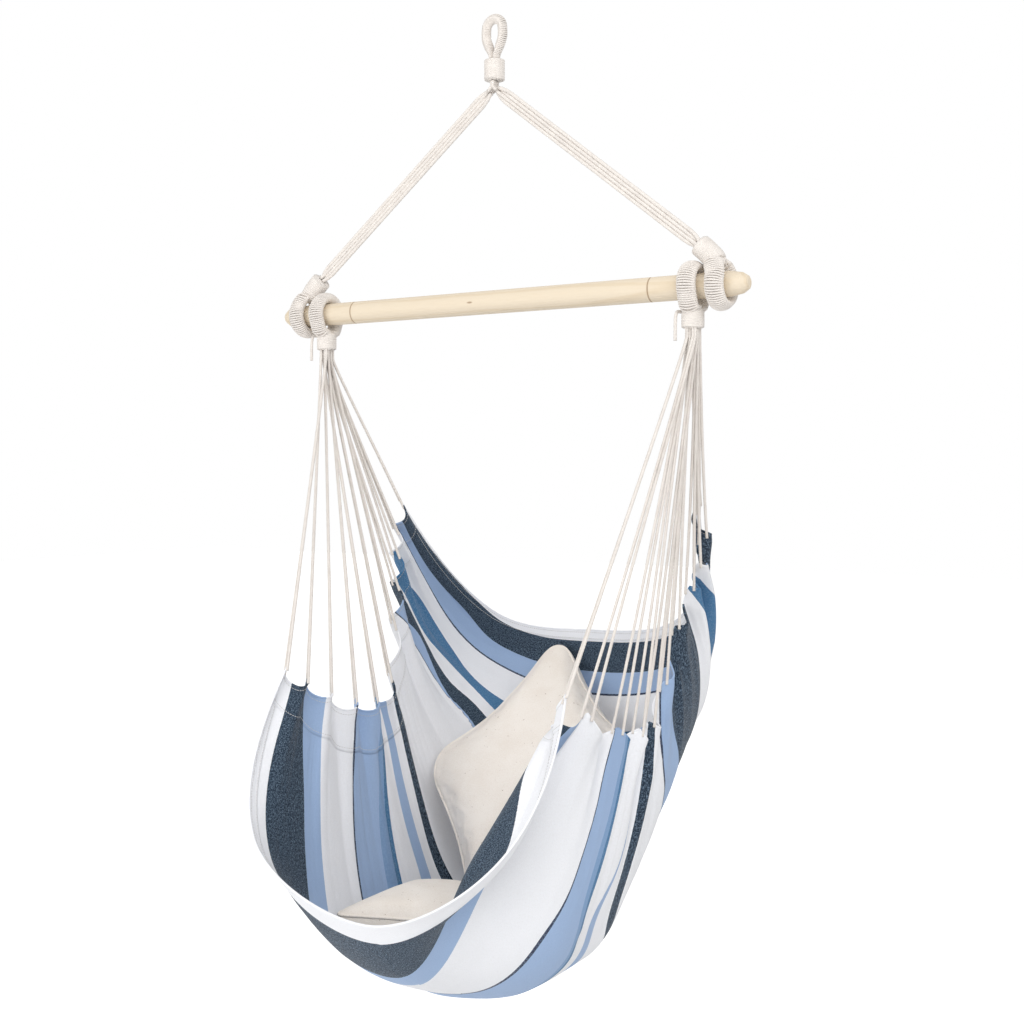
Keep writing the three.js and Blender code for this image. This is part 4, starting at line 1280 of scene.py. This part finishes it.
@dataclass(frozen=True)
class SeatCloth:
    """The striped sheet with its bands, hems, rolled edges and rows of stitches."""

    thickness: float = 1.6 * MM
    flat_width: float = 1070 * MM
    rows: int = 360
    columns: int = 300
    band_width: float = 45 * MM
    hem_width: float = 24 * MM
    facing: float = 0.25 * MM
    roll_radius: float = 1.7 * MM
    stitch: float = 4.2 * MM
    stitch_radius: float = 0.42 * MM

    def grid(self, along: Points, across: Points) -> tuple[Points, Points, Points]:
        """The surface over a grid.

        Args:
            along: Places along the cloth, one for each row.
            across: Places across it, one for each column.

        Returns:
            Points, unit normals to the upper side, and places in metres.
        """
        rows, columns = np.meshgrid(along, across, indexing="ij")
        points = SEAT.hanging(rows, columns, folds=True)
        down = np.gradient(points, axis=0)
        over = np.gradient(points, axis=1)
        normals = unit(np.cross(over, down))
        dyed = SEAT.dyed_place(rows, columns)
        spots = np.stack([columns * SEAT.stripe_half_length, dyed * CLOTH_LENGTH], -1)
        return points, normals, spots

    def across_places(self) -> Points:
        """Places across the cloth, closer together near the gathered edges."""
        even = np.linspace(-1, 1, self.columns + 1)
        return even + 0.12 * np.sin(np.pi * even) / np.pi * np.abs(even)

    def strip(self, name: str, along: Points, across: Points, finish: Material) -> Piece:
        """A facing strip on the upper side of the cloth."""
        shape = Shape()
        points, normals, spots = self.grid(along, across)
        near = self.thickness / 2 + 0.05 * MM
        shape.sheet(points, normals, near, near + self.facing, spots)
        return shape.piece(name, finish)

    def line_on(self, along: Points, across: Points, lift: float) -> Points:
        """A route on the upper side of the cloth, lifted off it."""
        points = SEAT.hanging(along, across, folds=True)
        step = 0.002
        down = SEAT.hanging(np.clip(along + step, 0, 1), across, True)
        down = down - SEAT.hanging(np.clip(along - step, 0, 1), across, True)
        over = SEAT.hanging(along, np.clip(across + step, -1, 1), True)
        over = over - SEAT.hanging(along, np.clip(across - step, -1, 1), True)
        return points + unit(np.cross(over, down)) * lift

    def roll(self, shape: Shape, along: Points, across: Points) -> None:
        """Adds a rolled edge along one side of the cloth, with the stripes carried round it."""
        route = self.line_on(along, across, 0.6 * MM)
        first = len(shape.places)
        shape.tube(route, round_section(self.roll_radius, 8))
        dyed = SEAT.dyed_place(along, across)
        spots = np.column_stack([across * SEAT.stripe_half_length, dyed * CLOTH_LENGTH])
        rows = np.repeat(np.stack([spots[:-1], spots[:-1], spots[1:], spots[1:]], 1), 8, axis=0)
        shape.places[first] = rows.reshape(-1, 2)

    def sew(self, shape: Shape, along: Points, across: Points) -> None:
        """Adds a row of stitches along a line on the cloth."""
        lift = self.thickness / 2 + self.facing + 0.2 * MM
        route = spaced(self.line_on(along, across, lift), self.stitch / 4)
        section = round_section(self.stitch_radius, 5)
        for first in range(0, len(route) - 3, 4):
            shape.tube(route[first:first + 4], section, 0.0, np.array([0.6, 1, 1, 0.6]))

    def build(self, cloth: Material, thread: Material) -> Piece:
        """Args:
            cloth: The striped cloth.
            thread: The sewing thread.

        Returns:
            The sheet.
        """
        along = np.linspace(0, 1, self.rows + 1)
        across = self.across_places()
        shape = Shape()
        points, normals, spots = self.grid(along, across)
        shape.sheet(points, normals, -self.thickness / 2, self.thickness / 2, spots)
        sheet = settle(shape.piece("striped_seat_cloth", cloth), "seat", "striped_cloth", "seat_cloth")

        band = self.band_width / SEAT.stripe_half_length
        rolls = Shape()
        stitches = Shape()
        for side in Side:
            over = side.value * (1 - np.linspace(0, band, 15))
            places = over if side is Side.RIGHT else over[::-1]
            name = f"{side.word}_edge_band"
            piece = self.strip(f"{name}_facing", along, np.sort(places), cloth)
            settle(piece, "seat", "edge_band", name)
            self.roll(rolls, along, np.full_like(along, side.value))
            for share in (0.9, 0.12):
                self.sew(stitches, along, np.full_like(along, side.value * (1 - band * share)))
        hem = self.hem_width / CLOTH_LENGTH
        inner = across[np.abs(across) < 1 - band]
        for name, places in (("front", np.linspace(0, hem, 9)), ("back", np.linspace(1 - hem, 1, 9))):
            piece = self.strip(f"{name}_hem_facing", places, inner, cloth)
            settle(piece, "seat", "striped_cloth")
            edge = 0.0 if name == "front" else 1.0
            self.roll(rolls, np.full_like(across, edge), across)
            for share in (0.85, 0.25):
                place = abs(edge - hem * share)
                self.sew(stitches, np.full_like(inner, place), inner)
        settle(rolls.piece("rolled_edges", cloth), "seat", "striped_cloth")
        settle(stitches.piece("cloth_stitches", thread), "seat", "edge_band")
        return sheet


# Places of the chair cords in the tied bundle, in packing widths: out, aft
PACK_PLACES = ((-1, -1.5), (1, -1.5), (0, -1), (-1, -0.5), (1, -0.5), (0, 0), (-1, 0.5), (1, 0.5), (0, 1),
               (1, 1.5), (-1, 1.5))


@dataclass(frozen=True)
class ChairCords:
    """The eleven laid cords of one side, and the free end of the cord that seizes their loop."""

    side: Side
    straight: float = 12 * MM
    pull: float = 120 * MM
    into_seizing: float = 9 * MM
    into_band: float = 9 * MM
    gap: float = 0.3 * MM
    tail_length: float = 44 * MM
    tail_diameter: float = 5.4 * MM
    wrap_turns: int = 3
    wrap_steps: int = 7
    wrap_pitch: float = 6.8 * MM
    core_half_width: float = 9 * 1.16 * MM + 0.6 * MM
    core_half_thickness: float = 10.15 * 1.08 * MM + 0.6 * MM
    strand_diameter: float = 4.8 * MM
    strand_gap: float = 2.0 * MM
    strand_spread: float = 8.0 * MM

    def route(self, cord: int) -> Points:
        """The middle of one cord, from the seizing to its anchor in the band."""
        place = np.array([SEAT.anchor(self.side, cord)])
        anchor = SEAT.hanging(place, np.array([float(self.side.value)]))[0]
        out, rear = PACK_PLACES[cord]
        top = np.array([self.side.value * (CHAIR_LOOP_STATION + out * CORD_PACKING), rear * CORD_PACKING,
                        -BAR_DROP - LOOP_END - self.gap])
        bend = top - UP * self.straight
        along = unit(anchor - bend)
        curve = bezier([bend, bend - UP * self.straight, anchor - along * self.pull, anchor], 40)
        return np.vstack([top + UP * self.into_seizing, curve, anchor + along * self.into_band])

    def strands(self, cord: int) -> list[Points]:
        """The two strands of one cord, which part where it passes through the band."""
        route = self.route(cord)
        reach = reach_along(route)
        place = SEAT.anchor(self.side, cord) + np.array([-0.01, 0.01])
        ends = SEAT.hanging(np.clip(place, 0, 1), np.full(2, float(self.side.value)))
        edge = unit(ends[1] - ends[0])
        apart = self.strand_gap + (self.strand_spread - self.strand_gap) * (reach / reach[-1]) ** 3
        return [route + sign * apart[:, None] * edge for sign in (-1, 1)]

    def tail_route(self) -> Points:
        """The free end: it runs on from the upper end of the seizing, then hangs."""
        cord = CORD_DIAMETER
        flat = math.cos(math.pi / self.wrap_steps)
        half_width = (self.core_half_width + cord / 2) / flat
        half_thickness = (self.core_half_thickness + cord / 2) / flat
        first = LOOP_THROAT + cord / 2
        length = LOOP_END - cord / 4 - first
        points = []
        for i in (0, 1):
            drop = first + (length - self.wrap_turns * self.wrap_pitch) / 2
            drop += i * self.wrap_pitch / self.wrap_steps
            angle = 2 * math.pi * i / self.wrap_steps + (math.pi if self.side is Side.RIGHT else 0)
            out = CHAIR_LOOP_STATION + half_width * math.cos(angle)
            over = -half_thickness * math.sin(angle)
            points.append(np.array([self.side.value * out, self.side.value * over, -BAR_DROP - drop]))
        onward = unit(points[0] - points[1])
        start = points[0] + onward * cord
        top = start + onward * 2 * self.gap
        corner = top + onward * 2 * self.tail_diameter
        curve = bezier([top + onward * self.tail_diameter / 2, corner, corner - UP * self.tail_diameter,
                        corner - UP * self.tail_length], 24)
        return np.vstack([top, curve])

    def build(self, finish: Material) -> None:
        """Builds and dresses the cords and the free end."""
        for cord in range(len(PACK_PLACES)):
            laid = Shape()
            for strand in self.strands(cord):
                LaidCord(diameter=self.strand_diameter, rings=9).lay_along(laid, strand)
            name = f"{self.side.word}_chair_cord_{cord + 1}"
            settle(laid.piece(f"{name}_laid", finish), "seat", "cotton_rope", name)
        route = spaced(self.tail_route(), 1.2 * MM)
        tail = Shape()
        LaidCord(diameter=self.tail_diameter, lay=16 * MM).lay_along(tail, route)
        name = f"{self.side.word}_cord_tail"
        piece = settle(tail.piece(f"{name}_laid", finish), "seat", "cotton_rope", name)


# Corners of each cushion's open face, round from the low left one, as shares of out, aft and down
PILLOW_CORNERS = np.array([
    [-0.15, -0.02, 0.99], [0.65, 0.6, 0.7], [-0.232, 0.918, 0.541], [-0.896, 0.373, 0.728],
])
PAD_CORNERS = np.array([
    [-0.58, -0.76, 0.842], [0.13, -0.56, 0.842], [0.46, 0, 0.852], [-0.6, 0, 0.852],
])


@dataclass(frozen=True)
class Cushion:
    """A filled cushion: a cover swelled by its filling, with piping round its open face."""

    name: str
    corners: Points
    inward: Points
    open_swell: float
    spread: float
    rounding: int
    fill: float = 0.7
    draw: float = 0.06
    pressure: float = 4.0
    frames: int = 20
    voxel: float = 5 * MM
    corner_start: float = 0.82
    corner_ease: float = 0.08
    clear: float = 1.6 * MM
    piping_radius: float = 2.1 * MM
    piping_depth: float = 2.5 * MM
    piping_lift: float = 0.4 * MM

    def rim(self, depth: float) -> Points:
        """The ring round one face of the cushion, at a depth behind its open face."""
        low_left, low_right, high_right, high_left = self.corners
        share = np.linspace(-1, 1, 41)
        pulled = 1 - self.draw * (1 - share**2)

        def spot(a: Points, b: Points) -> Points:
            """A place on the face from shares along both of its sides."""
            low = low_left + (low_right - low_left) * ((a + 1) / 2)[:, None]
            high = high_left + (high_right - high_left) * ((a + 1) / 2)[:, None]
            return low + (high - low) * ((b + 1) / 2)[:, None]

        sides = [spot(share, -pulled), spot(pulled, share), spot(-share, pulled), spot(-pulled, -share)]
        return np.vstack([side[:-1] for side in sides]) + self.inward * depth

    def rounded(self, points: Points) -> Points:
        """Points of the plain form, spread a little from its low corner and drawn in at every corner."""
        middle = self.corners.mean(0)
        drawn = points - middle
        for corner in self.corners:
            arm = corner - middle
            past = np.maximum(drawn @ arm / (arm @ arm) - self.corner_start, 0)
            left = self.corner_ease * np.tanh(past / self.corner_ease)
            drawn = drawn - (past - left)[:, None] * arm
        away = drawn + middle - self.corners[0]
        wide = away - np.outer(away @ self.inward, self.inward)
        return middle + drawn + wide * self.spread

    def swell(self, piece: Piece) -> None:
        """Fills the cover by simulation, with each point's way capped.

        Args:
            piece: The cover, still as the filling's plain form.
        """
        put_vertices(piece, self.rounded(vertices_of(piece)))
        remesh = piece.modifiers.new("remesh", "REMESH")
        remesh.mode = "VOXEL"
        remesh.voxel_size = self.voxel
        rounder = piece.modifiers.new("rounder", "SMOOTH")
        rounder.factor = 0.5
        rounder.iterations = self.rounding
        bake_modifiers(piece)
        before = vertices_of(piece)
        cloth = piece.modifiers.new("swell", "CLOTH")
        cloth.settings.use_pressure = True
        cloth.settings.uniform_pressure_force = self.pressure
        cloth.settings.effector_weights.gravity = 0
        cloth.settings.quality = 5
        cloth.point_cache.frame_start = 1
        cloth.point_cache.frame_end = self.frames
        for step in range(1, self.frames + 1):
            bpy.context.scene.frame_set(step)
        bake_modifiers(piece)
        bpy.context.scene.frame_set(1)
        moved = vertices_of(piece) - before
        into = moved @ self.inward
        moved -= np.outer(np.maximum(into, 0), self.inward)
        length = np.linalg.norm(moved, axis=1, keepdims=True)
        cap = self.open_swell * np.tanh(length / self.open_swell)
        put_vertices(piece, before + moved * np.where(length > 0, cap / np.maximum(length, 1e-9), 1))

    def keep_off(self, piece: Piece, sheet: Piece) -> None:
        """Moves points of the cover that come too near the seat's cloth back off it."""
        tree = tree_of(sheet)
        points = vertices_of(piece)
        middle = Vector(points.mean(0))
        for index, point in enumerate(points):
            way = Vector(point) - middle
            hit, _, _, distance = tree.ray_cast(middle, way.normalized(), way.length + self.clear)
            if hit is not None:
                points[index] = np.array(middle + way.normalized() * (distance - self.clear))
        put_vertices(piece, points)

    def build(self, sheet: Piece) -> None:
        """Builds and dresses the cover and its piping.

        Args:
            sheet: The seat's cloth, which the cushion rests on.
        """
        start, across, _, along = self.corners
        finish = CushionFinish(f"{self.name}_cotton", unit(across - start), unit(along - start)).material()
        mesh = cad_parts[f"{self.name}_filling"].data.copy()
        mesh.name = f"{self.name}_canvas"
        dress(mesh, finish)
        piece = placed(mesh.name, mesh)
        self.swell(piece)
        self.keep_off(piece, sheet)
        smooth = piece.modifiers.new("smooth", "SUBSURF")
        smooth.levels = 1
        smooth.render_levels = 1
        bake_modifiers(piece)
        piece.data.shade_smooth()
        settle(piece, self.name, "cushion_cloth", f"{self.name}_cover", f"{self.name}_filling")
        self.pipe(piece, finish)

    def pipe(self, cover: Piece, finish: Material) -> None:
        """Lays a cloth-covered piping cord on the cover, along the rim of its open face."""
        tree = tree_of(cover)
        route = []
        for spot in eased_ring(self.rounded(self.rim(self.piping_depth)), 9):
            place, normal, _, _ = tree.find_nearest(Vector(spot))
            route.append(np.array(place + normal * self.piping_lift))
        ring = eased_ring(np.array(route), 5)
        shape = Shape()
        shape.tube(spaced(np.vstack([ring, ring[:1]]), 3 * MM), round_section(self.piping_radius, 8))
        settle(shape.piece(f"{self.name}_piping", finish), self.name, "cushion_cloth")


def cushions() -> list[Cushion]:
    """The pillow that stands on a corner against the back, and the pad in the bottom of the seat."""
    pillow = SEAT.place(PILLOW_CORNERS)
    into_back = unit(np.cross(pillow[1] - pillow[3], pillow[0] - pillow[2]))
    return [
        Cushion("back_cushion", pillow, into_back, open_swell=28 * MM, spread=0.09, rounding=20),
        Cushion("seat_cushion", SEAT.place(PAD_CORNERS), -UP, open_swell=22 * MM, spread=0.02, rounding=12),
    ]


def eased_ring(ring: Points, width: int) -> Points:
    """A closed line with each point moved to the mean of the points about it."""
    kernel = np.ones(width) / width
    padded = np.vstack([ring[-(width // 2):], ring, ring[: width // 2]])
    return np.column_stack([np.convolve(padded[:, axis], kernel, "valid") for axis in range(3)])


def vertices_of(piece: Piece) -> Points:
    """The points of a mesh."""
    points = np.empty(len(piece.data.vertices) * 3, np.float32)
    piece.data.vertices.foreach_get("co", points)
    return points.reshape(-1, 3).astype(float)


def tree_of(piece: Piece) -> BVHTree:
    """A search tree of a mesh's faces."""
    faces = [tuple(face.vertices) for face in piece.data.polygons]
    return BVHTree.FromPolygons(vertices_of(piece).tolist(), faces)


def put_vertices(piece: Piece, points: Points) -> None:
    """Moves the points of a mesh."""
    piece.data.vertices.foreach_set("co", points.astype(np.float32).ravel())
    piece.data.update()


def bake_modifiers(piece: Piece) -> None:
    """Applies a piece's modifiers to its mesh."""
    view = bpy.context.evaluated_depsgraph_get()
    made = bpy.data.meshes.new_from_object(piece.evaluated_get(view))
    piece.modifiers.clear()
    piece.data = made


def main() -> None:
    """Builds the chair's looks and reports each piece."""
    logging.basicConfig(level=logging.INFO, format="%(message)s")
    Studio().build()
    cotton = CottonFinish("laid_cotton").material()
    yarn = CottonFinish("wound_cotton", plies=2.0, slant=1500.0).material()
    for side in Side:
        ChairCords(side).build(cotton)
        SuspensionLeg(side).build(cotton)
        for name, body, station, away, lean in (
            ("chair_loop", "seat", CHAIR_LOOP_STATION, -1, 0.0),
            ("suspension_loop", "yoke", SUSPENSION_LOOP_STATION, 1, SUSPENSION_LEAN),
        ):
            RopeLoop(side, f"{side.word}_{name}", body, station, away, lean).build(yarn)
    HangingEye().build(yarn)
    dress(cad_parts["spreader_bar"].data, PineFinish().material())
    sheet = SeatCloth().build(StripedFinish().material(), ThreadFinish("sewing_thread").material())
    zip_tape = ThreadFinish("zip_tape", as_linear(222, 213, 202), as_linear(190, 180, 168)).material()
    for cushion in cushions():
        cushion.build(sheet)
        dress(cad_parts[f"{cushion.name}_zip"].data, zip_tape)


if __name__ == "__main__":
    main()
